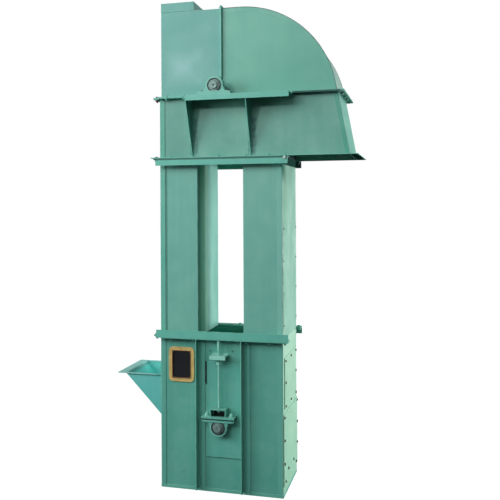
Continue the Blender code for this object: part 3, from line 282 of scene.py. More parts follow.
def ease(shape, width, segments=2, sharpest=28, choose=None):
    """Round the sharp edges of a shape, and mark the new faces as worked edges."""
    edge_mark = shape.faces.layers.float.get("edge") or shape.faces.layers.float.new("edge")
    least = math.radians(sharpest)
    sharp = [
        edge for edge in shape.edges
        if len(edge.link_faces) == 2 and edge.calc_face_angle(0.0) > least
        and (choose is None or choose(edge))
    ]
    for face in round_off(shape, sharp, width, segments):
        face[edge_mark] = 1.0
    return shape


def mesh_of(name, shape):
    """A mesh of a bmesh, which is then freed."""
    mesh = bpy.data.meshes.new(name)
    shape.to_mesh(mesh)
    shape.free()
    return mesh


def in_scene(name, data):
    """A new object in the scene."""
    made = bpy.data.objects.new(name, data)
    bpy.context.scene.collection.objects.link(made)
    return made


def show(name, shape, material, body, *nodes):
    """Make a piece of a bmesh, ride it on its body and let it stand for frame nodes."""
    mesh = mesh_of(name, shape)
    mesh.shade_smooth()
    mesh.set_sharp_from_angle(angle=math.radians(SHARP_FROM))
    mesh.materials.append(material)
    piece = in_scene(name, mesh)
    even = piece.modifiers.new("even_normals", "WEIGHTED_NORMAL")
    even.keep_sharp = True
    even.weight = 100
    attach(piece, body)
    if nodes:
        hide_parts(*nodes)
    return piece


def dressed(node, material, body="casing", width=0.0008, segments=2):
    """A frame node with its edges eased."""
    return show(node + "_finished", ease(node_shape(node), width, segments), material, body, node)


SEA_GREEN = enamel("sea_green_enamel", (0.125, 0.425, 0.335))
dressed("boot_floor", SEA_GREEN)


# Boot walls
# Front and back sheets of 3 mm steel between two end walls, folded as channels, that lap over them
# and are held by short welds. A fold's outside radius is about a sheet and a half.

FOLD_RADIUS = 0.0042
CUT_EDGE = 0.0007
CASING_SIDE = 0.2
SHEET_FACE = 0.197
WELD_LINE = 0.1968
ON_LAP = 0.2004
AT_CORNER = 0.0004
LAP_EDGE = 0.32
STITCH = 0.028
BEAD = 0.0018
BEAD_STEP = 0.0035


def at_fold(edge):
    """Whether an edge runs upright, or nearly, along an outer corner of the casing."""
    first, second = (vert.co for vert in edge.verts)
    along = (first - second).normalized()
    return abs(along.z) > 0.95 and all(
        abs(abs(point.y) - CASING_SIDE) < AT_CORNER for point in (first, second))


def outer_fold(edge):
    """Whether an edge is the bend itself and not the free edge of a lap."""
    return at_fold(edge) and any(
        abs(face.normal.x) > 0.9 and face.calc_area() > 0.02 for face in edge.link_faces)


def folded(node, material):
    """An end wall with round bends and eased edges."""
    shape = node_shape(node)
    ease(shape, FOLD_RADIUS, 5, choose=outer_fold)
    ease(shape, CUT_EDGE, 2, sharpest=40)
    return show(node + "_finished", shape, material, "casing", node)


def edges_of(verts):
    """Each edge that meets any of some vertices once, always in the same order."""
    return list(dict.fromkeys(edge for vert in verts for edge in vert.link_edges))


def bead(shape, start, end, radius, seed=0.0, rough=0.22):
    """One weld bead from point to point: a rippled round bar that lies half in the metal."""
    start, end = Vector(start), Vector(end)
    along = end - start
    steps = max(4, int(along.length / BEAD_STEP))
    turn = along.to_track_quat("Z", "Y").to_matrix().to_4x4()
    run = bmesh.new()
    ring = bmesh.ops.create_circle(
        run, cap_ends=False, segments=6, radius=radius, matrix=Matrix.Translation(start) @ turn)["verts"]
    edges = edges_of(ring)
    bmesh.ops.contextual_create(run, geom=edges)
    rings = [ring]
    for step in range(steps):
        made = bmesh.ops.extrude_edge_only(run, edges=edges)["geom"]
        pull = [item for item in made if isinstance(item, bmesh.types.BMVert)]
        edges = [item for item in made if isinstance(item, bmesh.types.BMEdge)]
        bmesh.ops.translate(run, verts=pull, vec=along / steps)
        rings.append(pull)
    bmesh.ops.contextual_create(run, geom=edges)
    for step, verts in enumerate(rings):
        centre = start + along * step / steps
        swell = 0.45 if step in (0, steps) else 1.0 + rough * noise.noise((step * 0.9 + seed, seed, 0.0))
        drift = Vector((1, 0, 0)) * rough * radius * noise.noise((step * 0.31 + seed, 7.0, seed))
        for vert in verts:
            vert.co = centre + (vert.co - centre) * swell + drift
    mesh = mesh_of("bead", run)
    shape.from_mesh(mesh)
    bpy.data.meshes.remove(mesh)


def stitches(shape, start, end, count, radius=BEAD, length=STITCH):
    """Short beads spaced evenly along a line."""
    start, end = Vector(start), Vector(end)
    along = (end - start).normalized()
    reach = along * length / 2
    for index in range(count):
        middle = start.lerp(end, (index + 0.5) / count)
        bead(shape, middle - reach, middle + reach, radius, index * 3.1 + start.x * 7)


def welds(name, shape, material, body="casing"):
    """Show beads gathered in one shape."""
    bmesh.ops.recalc_face_normals(shape, faces=shape.faces)
    return show(name, shape, material, body)


def carve(piece, shape):
    """Cut a shape out of a piece."""
    cutter = in_scene("cutter", mesh_of("cutter", shape))
    hole = piece.modifiers.new("hole", "BOOLEAN")
    hole.operation = "DIFFERENCE"
    hole.solver = "EXACT"
    hole.object = cutter
    piece.modifiers.move(len(piece.modifiers) - 1, 0)
    even = piece.modifiers["even_normals"]
    even.show_viewport = False
    bpy.context.view_layer.update()
    finished = piece.evaluated_get(bpy.context.evaluated_depsgraph_get())
    piece.data = bpy.data.meshes.new_from_object(finished)
    even.show_viewport = True
    piece.modifiers.remove(hole)
    bpy.data.objects.remove(cutter)


def drills(places, radius, depth):
    """Round cutters along Y at places."""
    shape = bmesh.new()
    for place in places:
        matrix = Matrix.Translation(place) @ Matrix.Rotation(math.radians(90), 4, "X")
        bmesh.ops.create_cone(
            shape, cap_ends=True, segments=20, radius1=radius, radius2=radius, depth=depth,
            matrix=matrix)
    return shape


BOOT_GREEN = enamel("boot_green_enamel", (0.110, 0.385, 0.310), mottle=0.7, runs=0.55)
# A paler, greyer copy of the casing paint for the boot's right-facing tail wall and its covers: painted
# sheen and light on that side. The tail wall's laps on the front and back are given the front's tone.
END_GREEN_PAINTED_SHEEN = enamel("end_green_painted_sheen", (0.31, 0.58, 0.41), mottle=0.5)
on_laps = on_both_faces(0.3335, CASING_SIDE, 0.9, (0.0145, 0.0025, 1.0))
stain_or_paint_shade(END_GREEN_PAINTED_SHEEN, (0.115, 0.400, 0.325), on_laps, 1.0, 0.0015, 0.3, 20.0)
# The deck between the legs is painted near black and without shine: painted shade where it is seen between
# the legs.
DECK_PAINTED_SHADE = enamel("deck_painted_shade_enamel", (0.010, 0.115, 0.075), dust=0.0, shine=0.0)
scratch = [((-0.22, -SHEET_FACE, 0.093), (0.012, 0.02, 0.003))]
stain_or_paint_shade(BOOT_GREEN, (0.02, 0.05, 0.045), scratch, 0.7, 0.004, 2.0, 160.0)
# A soft darker band beside the inlet end's lap on the boot's sheets: painted shade.
shade_beside_lap = on_both_faces(-0.305, SHEET_FACE, 0.425, (0.030, 0.006, 0.50))
stain_or_paint_shade(BOOT_GREEN, (0.035, 0.20, 0.16), shade_beside_lap, 0.6, 0.03, 0.5, 12.0)
# A near-black strip in the gap beside the left guide, on the sheet and on the slide plate: painted shade in
# the slot.
shade_beside_guide = on_both_faces(-0.0840, SHEET_FACE, 0.655, (0.0085, 0.02, 0.064))
stain_or_paint_shade(BOOT_GREEN, (0.010, 0.030, 0.028), shade_beside_guide, 0.95, 0.002, 0.5, 60.0)
front_sheet = dressed("boot_front_panel", BOOT_GREEN)
stray_holes = [(-0.057, -0.195, 0.776), (0.068, -0.195, 0.778)]
carve(front_sheet, drills(stray_holes, 0.0045, 0.02))
dressed("boot_back_panel", BOOT_GREEN)
folded("boot_inlet_end", BOOT_GREEN)
folded("boot_tail_end", END_GREEN_PAINTED_SHEEN)
dressed("boot_top_plate", DECK_PAINTED_SHADE)

lap_welds = bmesh.new()
for face_side in SIDES:
    for end_side in SIDES:
        foot = (end_side * (LAP_EDGE - 0.0005), face_side * (CASING_SIDE - 0.0032), 0.03)
        head = (foot[0], foot[1], 0.80)
        stitches(lap_welds, foot, head, 5)
welds("boot_lap_welds", lap_welds, BOOT_GREEN)


# Boot covers
# Two cover plates over the openings in the boot's tail wall, held by small bolts that were put
# in after painting.

ACROSS_SHARE = 1.7
HEAD_SHARE = 0.64
NUT_SHARE = 0.8
WASHER_SHARE = 0.16
WASHER_RADIUS_SHARE = 1.02
CHAMFER_SHARE = 0.05


def disc(shape, radius, low, high, segments=16):
    """A round bar along Z, or one with few corners."""
    return bmesh.ops.create_cone(
        shape, cap_ends=True, segments=segments, radius1=radius, radius2=radius, depth=high - low,
        matrix=Matrix.Translation((0, 0, (low + high) / 2)))["verts"]


def hexagon(shape, across, low, high):
    """A hexagon bar along Z with the corners of both ends chamfered."""
    made = disc(shape, across / math.sqrt(3), low, high, 6)
    for level in (low, high):
        rim = [
            edge for edge in edges_of(vert for vert in made if vert.is_valid)
            if all(abs(vert.co.z - level) < JOIN_WITHIN for vert in edge.verts)
        ]
        round_off(shape, rim, across * CHAMFER_SHARE, 1)


def bolt(thread, grip, with_nut=True, tail=0.006):
    """A bolt along Z: its washer sits at zero with the head above, and the nut is under a grip."""
    shape = bmesh.new()
    across = thread * ACROSS_SHARE
    washer = thread * WASHER_SHARE
    disc(shape, thread * WASHER_RADIUS_SHARE, 0.0, washer)
    hexagon(shape, across, washer, washer + thread * HEAD_SHARE)
    if with_nut:
        disc(shape, thread * WASHER_RADIUS_SHARE, -grip - washer, -grip)
        nut_end = -grip - washer - thread * NUT_SHARE
        hexagon(shape, across, nut_end, -grip - washer)
        disc(shape, thread / 2, nut_end - tail, nut_end, 12)
    return mesh_of("bolt", shape)


FACING = {
    "up": Matrix.Identity(4), "down": Matrix.Rotation(math.pi, 4, "X"),
    "right": Matrix.Rotation(math.pi / 2, 4, "Y"), "front": Matrix.Rotation(math.pi / 2, 4, "X"),
}
spin_draw = random.Random(7)


def fasten(name, pattern, places, facing, material, body="casing"):
    """Copies of a bolt at places, each turned as it was left by the spanner."""
    shape = bmesh.new()
    for place in places:
        before = len(shape.verts)
        shape.from_mesh(pattern)
        shape.verts.ensure_lookup_table()
        turn = Matrix.Rotation(spin_draw.uniform(0, math.pi), 4, "Z")
        bmesh.ops.transform(
            shape, matrix=Matrix.Translation(place) @ FACING[facing] @ turn, verts=shape.verts[before:])
    return show(name, shape, material, body)


def roughen(tree, shader, place, height):
    """Give a finish a fine bumpy skin."""
    skin = product(tree, cloud(tree, place, 420.0, 3.0), height)
    bump = put(tree, "ShaderNodeBump", Height=skin, Distance=1.0)
    join(tree, bump.outputs["Normal"], shader.inputs["Normal"])


def bare_metal(name, colour, roughness, metallic=1.0, rust=0.0):
    """Steel with a fine grain, less metallic where it is dull, and with some rust."""
    material, tree, shader = new_finish(name)
    place = own_place(tree)
    grain = ramp(tree, cloud(tree, place, 90.0, 5.0), 0.35, 0.65)
    dark = tuple(part * 0.7 for part in colour)
    steel = mix(tree, grain, (*colour, 1), (*dark, 1))
    spots = product(tree, ramp(tree, cloud(tree, place, 38.0, 4.0), 0.44, 0.60), rust)
    join(tree, mix(tree, spots, steel, (0.20, 0.085, 0.045, 1)), shader.inputs["Base Color"])
    join(tree, sum_of(tree, "MULTIPLY_ADD", spots, -metallic, metallic), shader.inputs["Metallic"])
    join(tree, sum_of(tree, "MULTIPLY_ADD", grain, 0.14, roughness), shader.inputs["Roughness"])
    roughen(tree, shader, place, 0.00006)
    return material


DULL_BOLTS = bare_metal("dull_bolts", (0.14, 0.14, 0.135), 0.42, 0.7, rust=0.22)
COVER_BOLT = bolt(0.007, 0.008, with_nut=False)
COVER_FACE = 0.3543
dressed("boot_upper_cover", END_GREEN_PAINTED_SHEEN)
dressed("boot_lower_cover", END_GREEN_PAINTED_SHEEN)
cover_bolts = [
    (-0.15, 0.73), (0.0, 0.73), (0.15, 0.73), (-0.15, 0.484), (0.0, 0.484), (0.15, 0.484),
    (-0.15, 0.612), (0.15, 0.612),
    (-0.185, 0.430), (0.185, 0.430), (-0.185, 0.308), (0.185, 0.303), (-0.185, 0.182), (0.185, 0.182),
    (-0.086, 0.126), (0.067, 0.121), (0.149, 0.080), (-0.160, 0.080),
]
fasten("cover_bolts", COVER_BOLT, [(COVER_FACE, y, z) for y, z in cover_bolts], "right", DULL_BOLTS)


# Window
# A dark pane held by a thick rubber strip, ochre with age, that grips the edge of the cut. A
# groove runs round the strip where its locking bead is pressed in.

def plain(name, colour, roughness, grain_scale=60.0):
    """A finish with a little grain of its own."""
    material, tree, shader = new_finish(name)
    place = own_place(tree)
    grain = ramp(tree, cloud(tree, place, grain_scale, 5.0), 0.35, 0.65)
    dark = tuple(part * 0.72 for part in colour)
    join(tree, mix(tree, grain, (*colour, 1), (*dark, 1)), shader.inputs["Base Color"])
    join(tree, ramp(tree, grain, 0.0, 1.0, roughness, roughness + 0.12), shader.inputs["Roughness"])
    roughen(tree, shader, place, 0.00005)
    return material


OCHRE_RUBBER = plain("ochre_rubber", (0.60, 0.43, 0.15), 0.5, 25.0)
DARK_PANE = plain("dark_pane", (0.016, 0.017, 0.020), 0.07, 5.0)
GASKET_RIM = 0.0185
GASKET_ROUND = 0.0028
GROOVE_INSET = 0.0065
GROOVE_WALL = 0.0006
GROOVE_DEPTH = 0.0012
window_low, window_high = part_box("window_gasket")
window_centre = [(low + high) / 2 for low, high in zip(window_low, window_high)]
window_half = [(high - low) / 2 - GASKET_RIM for low, high in zip(window_low, window_high)]
# A dark brown band round the inner edge of the strip: painted shade on its inner lip.
shaded_inner_rim = (window_centre, (window_half[0], 0.02, window_half[2]))
stain_or_paint_shade(OCHRE_RUBBER, (0.090, 0.034, 0.014), [shaded_inner_rim], 0.95, 0.002, 0.8, 60.0)
gasket = ease(node_shape("window_gasket"), GASKET_ROUND, 4)
outer_face = min(face.calc_center_median().y for face in gasket.faces)
flat = [
    face for face in gasket.faces
    if face.calc_center_median().y < outer_face + 0.0001 and face.normal.y < -0.99
]
for thickness, depth in ((GROOVE_INSET, 0.0), (GROOVE_WALL, -GROOVE_DEPTH)):
    bmesh.ops.inset_region(
        gasket, faces=flat, thickness=thickness, depth=depth, use_even_offset=True,
        use_boundary=True)
show("window_gasket_finished", gasket, OCHRE_RUBBER, "casing", "window_gasket")
dressed("window_glass", DARK_PANE)


# Feed hopper
# A sheet hopper on the boot's inlet wall, with a flat rim folded out round three sides and beads
# where the cheeks meet the slope and the wall.

HOPPER_GREEN = enamel("hopper_green_enamel", (0.125, 0.50, 0.455), mottle=0.5, dust=0.0)
# Painted light and shade in the hopper: a pale painted highlight on the rim, bright painted light on the
# inner slope and painted shade in the throat.
rim_painted_highlight = [((-0.51, 0.0, 0.6215), (0.12, 0.25, 0.0042))]
stain_or_paint_shade(HOPPER_GREEN, (0.40, 0.66, 0.62), rim_painted_highlight, 0.55, 0.002, 2.0, 30.0)
slope_painted_light = [((-0.52, 0.0, 0.555), (0.10, 0.155, 0.055))]
stain_or_paint_shade(HOPPER_GREEN, (0.14, 0.86, 0.78), slope_painted_light, 0.9, 0.012, 0.5, 30.0)
throat_painted_shade = [((-0.39, 0.0, 0.56), (0.03, 0.150, 0.030))]
stain_or_paint_shade(HOPPER_GREEN, (0.02, 0.19, 0.17), throat_painted_shade, 0.7, 0.03, 0.5, 30.0)
dressed("feed_hopper", HOPPER_GREEN, width=0.0006)
hopper_low, hopper_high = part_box("feed_hopper")
HOPPER_CHEEK = 0.155
SLOPE_TOP_X = -0.579
hopper_welds = bmesh.new()
for side in SIDES:
    wall = hopper_high[0] - 0.001
    foot = (wall, side * HOPPER_CHEEK, hopper_low[2] + 0.004)
    bead(hopper_welds, foot, (wall, side * HOPPER_CHEEK, hopper_high[2] - 0.006), 0.0022, side * 5.0)
    lip = (SLOPE_TOP_X, side * (HOPPER_CHEEK - 0.001), hopper_high[2] - 0.0045)
    bead(hopper_welds, (foot[0], lip[1], foot[2]), lip, 0.0016, side * 9.0)
    bead(hopper_welds, lip, (wall, lip[1] + side * 0.001, lip[2]), 0.0014, side * 2.0)
welds("hopper_welds", hopper_welds, HOPPER_GREEN)


# Guides
# Angle irons welded upright to the boot's sheets with short beads, two in front and two behind.

GUIDE_GREEN = enamel("guide_green_enamel", (0.125, 0.44, 0.355), mottle=0.5, thin=1.0)
GUIDE_WELD_Y = 0.1972
guide_welds = bmesh.new()
for face, face_side in FACES:
    for label, side in (("left", -1), ("right", 1)):
        name = "guide_%s_%s" % (face, label)
        dressed(name, GUIDE_GREEN, width=0.001)
        low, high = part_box(name)
        y = face_side * GUIDE_WELD_Y
        for x in (low[0] - 0.0005, high[0] + 0.0005):
            stitches(guide_welds, (x, y, low[2] + 0.02), (x, y, high[2] - 0.02), 5, 0.0022)
welds("guide_welds", guide_welds, GUIDE_GREEN)


# Take-up carriages
# On each side a slide plate covers the slot, with a thick ledge for the bearing and a bent yoke
# welded on top, in which the screw turns.

LEDGE_TOP = 0.4315
YOKE_TOP = 0.4735
YOKE_HALF = 0.045
YOKE_REACH = 0.024
LEDGE_REAR = 0.2090
REAR_BEADS = ((-0.084, -0.049, 3.0), (0.049, 0.084, 4.0))
TAKEUP_Y = 0.2357
takeup_welds = bmesh.new()
CARRIAGE_GREEN = enamel("carriage_green_enamel", (0.115, 0.42, 0.34), mottle=0.8, runs=0.5, thin=1.0)
# Near black inside the yokes: painted shade in the cavities.
shade_in_yokes = on_both_faces(0.0, 0.22, 0.449, (0.040, 0.026, 0.021))
stain_or_paint_shade(CARRIAGE_GREEN, (0.006, 0.014, 0.012), shade_in_yokes, 0.96, 0.003, 1.5, 90.0)
stain_or_paint_shade(CARRIAGE_GREEN, (0.010, 0.030, 0.028), shade_beside_guide, 0.95, 0.002, 0.5, 60.0)
for side, sign in FACES:
    dressed("takeup_carriage_" + side, CARRIAGE_GREEN, "takeup", 0.0012)
    near, far = sign * (TAKEUP_Y - YOKE_REACH), sign * (TAKEUP_Y + YOKE_REACH)
    for end in SIDES:
        x = end * (YOKE_HALF + 0.0003)
        bead(takeup_welds, (x, near, LEDGE_TOP), (x, far, LEDGE_TOP), 0.0026, sign + end * 2.0)
    rear = sign * LEDGE_REAR
    for start, end, seed in REAR_BEADS:
        bead(takeup_welds, (start, rear, LEDGE_TOP), (end, rear, LEDGE_TOP), 0.0026, sign * seed)
welds("takeup_welds", takeup_welds, GUIDE_GREEN, "takeup")


# Take-up screws
# Long bolts with a thick head, a full thread and a lock nut, painted over with the casing. Each
# ends in a nut that carries the yoke, and passes through a stout angle on the boot's sheet.

SCREW_ROOT = 0.0050
SCREW_CREST = 0.0059
SCREW_PITCH = 0.00175
SCREW_HEAD = 0.0075
SCREW_COLLAR_Z = 0.789
SCREW_LOW_Z = 0.452
LOCK_NUT_Z = (0.710, 0.724)
YOKE_NUT_Z = (YOKE_TOP - 0.006 - 0.011, YOKE_TOP - 0.0062)
TURN_STEPS = 12


def thread(shape, place_x, place_y, low, high):
    """A raised helix up a rod: a V section spun round it."""
    turns = int((high - low) / SCREW_PITCH)
    low = high - turns * SCREW_PITCH
    heights = ((SCREW_ROOT, 0.0), (SCREW_CREST, SCREW_PITCH / 2), (SCREW_ROOT, SCREW_PITCH))
    foot = low - SCREW_PITCH
    verts = [shape.verts.new((place_x + radius, place_y, foot + rise)) for radius, rise in heights]
    edges = [shape.edges.new(pair) for pair in zip(verts, verts[1:])]
    bmesh.ops.spin(
        shape, geom=verts + edges, cent=(place_x, place_y, 0), axis=(0, 0, 1),
        dvec=(0, 0, SCREW_PITCH / TURN_STEPS), angle=2 * math.pi * turns, steps=turns * TURN_STEPS,
        use_merge=False, use_duplicate=False)


# A paler copy of the casing green for the screws, brackets, their beads and the take-up bolts: painted
# light on the thin rods.
SCREW_GREEN_PAINTED_LIGHT = enamel("screw_green_painted_light", (0.27, 0.64, 0.53), thin=1.0)
for side, sign in FACES:
    low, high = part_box("takeup_screw_" + side)
    shape = bmesh.new()
    thread(shape, 0.0, 0.0, SCREW_LOW_Z, SCREW_COLLAR_Z)
    bmesh.ops.remove_doubles(shape, verts=shape.verts, dist=JOIN_WITHIN)
    bmesh.ops.recalc_face_normals(shape, faces=shape.faces)
    disc(shape, SCREW_ROOT, SCREW_LOW_Z - 0.001, SCREW_COLLAR_Z, 16)
    disc(shape, SCREW_HEAD, SCREW_COLLAR_Z, high[2], 24)
    hexagon(shape, 0.024, *LOCK_NUT_Z)
    hexagon(shape, 0.022, *YOKE_NUT_Z)
    bmesh.ops.translate(shape, verts=shape.verts, vec=(0, sign * TAKEUP_Y, 0))
    show("takeup_screw_%s_finished" % side, shape, SCREW_GREEN_PAINTED_LIGHT, "takeup", "takeup_screw_" + side)
    dressed("screw_bracket_" + side, SCREW_GREEN_PAINTED_LIGHT, width=0.0014, segments=3)
BRACKET_TOP = 0.7625
TOP_BEADS = ((-0.046, -0.012, 0.0034, 2.0), (0.014, 0.044, 0.0028, 4.0))
END_BEADS = ((-1, 0.0040), (1, 0.0028))
SPATTER_SPOTS = 46
bracket_welds = bmesh.new()
for sign in SIDES:
    near, far = sign * 0.1985, sign * 0.226
    for end, radius in END_BEADS:
        x = end * 0.0455
        bead(bracket_welds, (x, near, 0.755), (x, far, 0.7575), radius, sign + end, 0.6)
    y = sign * GUIDE_WELD_Y
    for start, end, radius, seed in TOP_BEADS:
        bead(bracket_welds, (start, y, BRACKET_TOP), (end, y, BRACKET_TOP), radius, sign * seed, 0.6)
    spots = random.Random(11)
    for _ in range(SPATTER_SPOTS):
        x = spots.gauss(-0.030, 0.018)
        z = spots.gauss(0.790, 0.020)
        if 0.766 < z < 0.835 and -0.075 < x < 0.06:
            bmesh.ops.create_icosphere(
                bracket_welds, subdivisions=1, radius=spots.uniform(0.0007, 0.0016),
                matrix=Matrix.Translation((x, sign * 0.1969, z)))
welds("bracket_welds", bracket_welds, SCREW_GREEN_PAINTED_LIGHT)


# Bearings
# Cast pillow blocks, painted, round a ball bearing whose steel rings and dark seal stay bare.
# The head's stand on their shelves, and the take-ups' hang under their ledges.

INSERT_STEEL = bare_metal("insert_steel", (0.14, 0.23, 0.215), 0.42, 0.4, rust=0.0)
SEAL_RUBBER = plain("seal_rubber", (0.018, 0.018, 0.018), 0.5)
HEAD_SHAFT_Z = 2.2222
BOOT_SHAFT_Z = 0.372
HEAD_BEARING_Y = 0.28
BLOCK_RISE = 0.0492
FOOT_THICKNESS = 0.0172
FOOT_BOLT_X = 0.069
GROOVE = (0.0260, 0.0392, 0.0145, 0.0240)
SEAL = (0.0325, 0.0391, 0.0150, 0.0166)
INNER_RING = (0.0269, 0.0326, 0.0150, 0.0212)
NIPPLE_LEAN = 32
NIPPLE_REACH = 0.0482
RING_STEPS = 40


def washer_ring(shape, centre, side, ring):
    """A flat ring round the Y axis, from a near depth to a far one on one side."""
    x, y, z = centre
    inner, outer, near, far = ring
    corners = ((inner, side * near), (outer, side * near), (outer, side * far), (inner, side * far))
    verts = [shape.verts.new((x + radius, y + depth, z)) for radius, depth in corners]
    edges = [shape.edges.new((verts[index], verts[(index + 1) % 4])) for index in range(4)]
    bmesh.ops.spin(
        shape, geom=verts + edges, cent=(x, y, z), axis=(0, 1, 0), angle=2 * math.pi, steps=RING_STEPS,
        use_merge=True, use_duplicate=False)


def bearing(name, centre, body, hangs):
    """A pillow block with its insert's rings, its seals and its grease nipple."""
    casting = ease(node_shape(name), 0.0022, 3)
    casting = show(name + "_finished", casting, CAST_GREEN, body, name)
    groove = bmesh.new()
    seals = bmesh.new()
    rings = bmesh.new()
    for side in SIDES:
        washer_ring(groove, centre, side, GROOVE)
        washer_ring(seals, centre, side, SEAL)
        washer_ring(rings, centre, side, INNER_RING)
    for shape in (groove, rings, seals):
        bmesh.ops.recalc_face_normals(shape, faces=shape.faces)
    carve(casting, groove)
    show(name + "_rings", ease(rings, 0.0010, 3), INSERT_STEEL, body)
    show(name + "_seals", seals, SEAL_RUBBER, body)
    nipple = bmesh.new()
    disc(nipple, 0.0032, 0.0, 0.003, 6)
    disc(nipple, 0.0020, 0.003, 0.0062, 12)
    bmesh.ops.create_uvsphere(
        nipple, u_segments=12, v_segments=8, radius=0.0027, matrix=Matrix.Translation((0, 0, 0.0072)))
    lean = Matrix.Rotation(math.radians(NIPPLE_LEAN), 4, "Y") @ Matrix.Translation((0, 0, NIPPLE_REACH))
    if hangs:
        lean = FACING["down"] @ lean
    bmesh.ops.transform(nipple, matrix=Matrix.Translation(centre) @ lean, verts=nipple.verts)
    show(name + "_nipple", nipple, DULL_BOLTS, body)


CAST_GREEN = enamel("cast_green_enamel", (0.13, 0.44, 0.36), mottle=0.8, thin=1.0, waves=0.2)
under_ledge = on_both_faces(0.0, TAKEUP_Y, 0.4172, (0.094, 0.030, 0.0044))
stain_or_paint_shade(CAST_GREEN, (0.010, 0.040, 0.034), under_ledge, 0.95, 0.0012, 0.8, 90.0)
GREY_BOLTS = bare_metal("grey_bolts", (0.10, 0.13, 0.12), 0.42, 0.5)
for side, sign in FACES:
    bearing("head_bearing_" + side, (0, sign * HEAD_BEARING_Y, HEAD_SHAFT_Z), "casing", False)
    bearing("takeup_bearing_" + side, (0, sign * TAKEUP_Y, BOOT_SHAFT_Z), "takeup", True)


def foot_places(y, z):
    """Where the bolts of two pillow blocks' feet are, front and back."""
    return [(end * FOOT_BOLT_X, side * y, z) for end in SIDES for side in SIDES]


SHELF_BOLT = bolt(0.012, 0.0225, tail=0.004)
for_head = foot_places(HEAD_BEARING_Y, HEAD_SHAFT_Z - BLOCK_RISE + FOOT_THICKNESS)
fasten("head_bearing_bolts", SHELF_BOLT, for_head, "up", GREY_BOLTS)
LEDGE_BOLT = bolt(0.012, 0.0275, tail=0.007)
for_ledge = foot_places(TAKEUP_Y, BOOT_SHAFT_Z + BLOCK_RISE - FOOT_THICKNESS)
fasten("takeup_bearing_bolts", LEDGE_BOLT, for_ledge, "down", SCREW_GREEN_PAINTED_LIGHT, "takeup")


# Shafts and pulleys
# Ground steel shafts in the bearings' inner rings, which small screws lock. The head shaft has a
# keyed end at the back for its drive. The drums are welded from rim, web and hub.

BRIGHT_STEEL = bare_metal("bright_steel", (0.20, 0.32, 0.30), 0.50, 0.35, rust=0.0)
DRUM_STEEL = bare_metal("drum_steel", (0.17, 0.18, 0.17), 0.5, 0.8, rust=0.5)
KEY_SIZE = (0.012, 0.074, 0.008)
KEY_Y = 0.366
KEY_RISE = 0.0195
SET_SCREW_TURNS = (20, 140)
for name, body, z in (("boot", "boot_drum", BOOT_SHAFT_Z), ("head", "head_drum", HEAD_SHAFT_Z)):
    turned_shaft = dressed(name + "_shaft", BRIGHT_STEEL, body, 0.0008)
    low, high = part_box(name + "_shaft")
    centres = bmesh.new()
    for y in (low[1], high[1]):
        bmesh.ops.create_uvsphere(
            centres, u_segments=20, v_segments=10, radius=0.0055, matrix=Matrix.Translation((0, y, z)))
    carve(turned_shaft, centres)
    dressed(name + "_pulley", DRUM_STEEL, body, 0.001)


def block(size, place):
    """A square bar or plate."""
    shape = bmesh.new()
    bmesh.ops.create_cube(shape, size=1.0)
    bmesh.ops.scale(shape, verts=shape.verts, vec=size)
    bmesh.ops.translate(shape, verts=shape.verts, vec=place)
    return shape


drive_key = block(KEY_SIZE, (0, KEY_Y, HEAD_SHAFT_Z + KEY_RISE))
show("drive_key", ease(drive_key, 0.0008), BRIGHT_STEEL, "head_drum")
for body, z, y in (("boot_drum", BOOT_SHAFT_Z, TAKEUP_Y), ("head_drum", HEAD_SHAFT_Z, HEAD_BEARING_Y)):
    screws = bmesh.new()
    for side in SIDES:
        for turn in SET_SCREW_TURNS:
            before = len(screws.verts)
            disc(screws, 0.0028, 0.024, 0.0268, 10)
            screws.verts.ensure_lookup_table()
            place = Matrix.Translation((0, side * (y + 0.0235), z))
            turned = place @ Matrix.Rotation(math.radians(turn), 4, "Y")
            bmesh.ops.transform(screws, matrix=turned, verts=screws.verts[before:])
    show(body + "_set_screws", screws, DULL_BOLTS, body)


# Belt and buckets
# A plied rubber belt in one loop with pressed steel buckets bolted to it, bright where grain
# has run over them.

BELT_RUBBER = plain("belt_rubber", (0.035, 0.034, 0.032), 0.75)
BUCKET_STEEL = bare_metal("bucket_steel", (0.30, 0.30, 0.29), 0.4, 0.9, rust=0.35)
BELT_RADIUS = 0.1747
BELT_SLACK = 0.0255
belt_shape = node_shape("bucket_belt")
for face in belt_shape.faces:
    middle = face.calc_center_median()
    off = 0.0
    if middle.z > HEAD_SHAFT_Z:
        off = middle.z - HEAD_SHAFT_Z
    elif middle.z < BOOT_SHAFT_Z - BELT_SLACK:
        off = BOOT_SHAFT_Z - BELT_SLACK - middle.z
    face.material_index = 1 if math.hypot(middle.x, off) > BELT_RADIUS else 0
belt_piece = show("bucket_belt_finished", belt_shape, BELT_RUBBER, "casing", "bucket_belt")
belt_piece.data.materials.append(BUCKET_STEEL)


# Flanges
# Rolled bars welded round the casing at each joint and bolted through. At the leg's foot the
# front bar's lip stands up and the boot's back bar hangs down.

FLANGE_GREEN = enamel("flange_green_enamel", (0.125, 0.455, 0.365), mottle=0.4)
# Darker right faces of the gussets: painted shade under the shelf.
shade_beside_gussets = [
    ((x, side * 0.262, 2.005), (0.0012, 0.056, 0.165)) for x in (-0.1545, 0.1795) for side in SIDES
]
stain_or_paint_shade(FLANGE_GREEN, (0.050, 0.20, 0.165), shade_beside_gussets, 0.75, 0.0008, 0.3, 30.0)
# A dark line along the top of the leg-top flange's lips: painted shade in the joint.
shade_in_joint = on_both_faces(0.0, 0.25, 1.8345, (0.389, 0.003, 0.0055))
stain_or_paint_shade(FLANGE_GREEN, (0.010, 0.075, 0.055), shade_in_joint, 0.85, 0.0015, 0.8, 60.0)
# Near black at the right end of the back flange bar: painted shade under the outlet.
shaded_bar_end = [((0.37, 0.224, 1.818), (0.04, 0.024, 0.025))]
stain_or_paint_shade(FLANGE_GREEN, (0.006, 0.030, 0.026), shaded_bar_end, 0.95, 0.002, 0.3, 60.0)
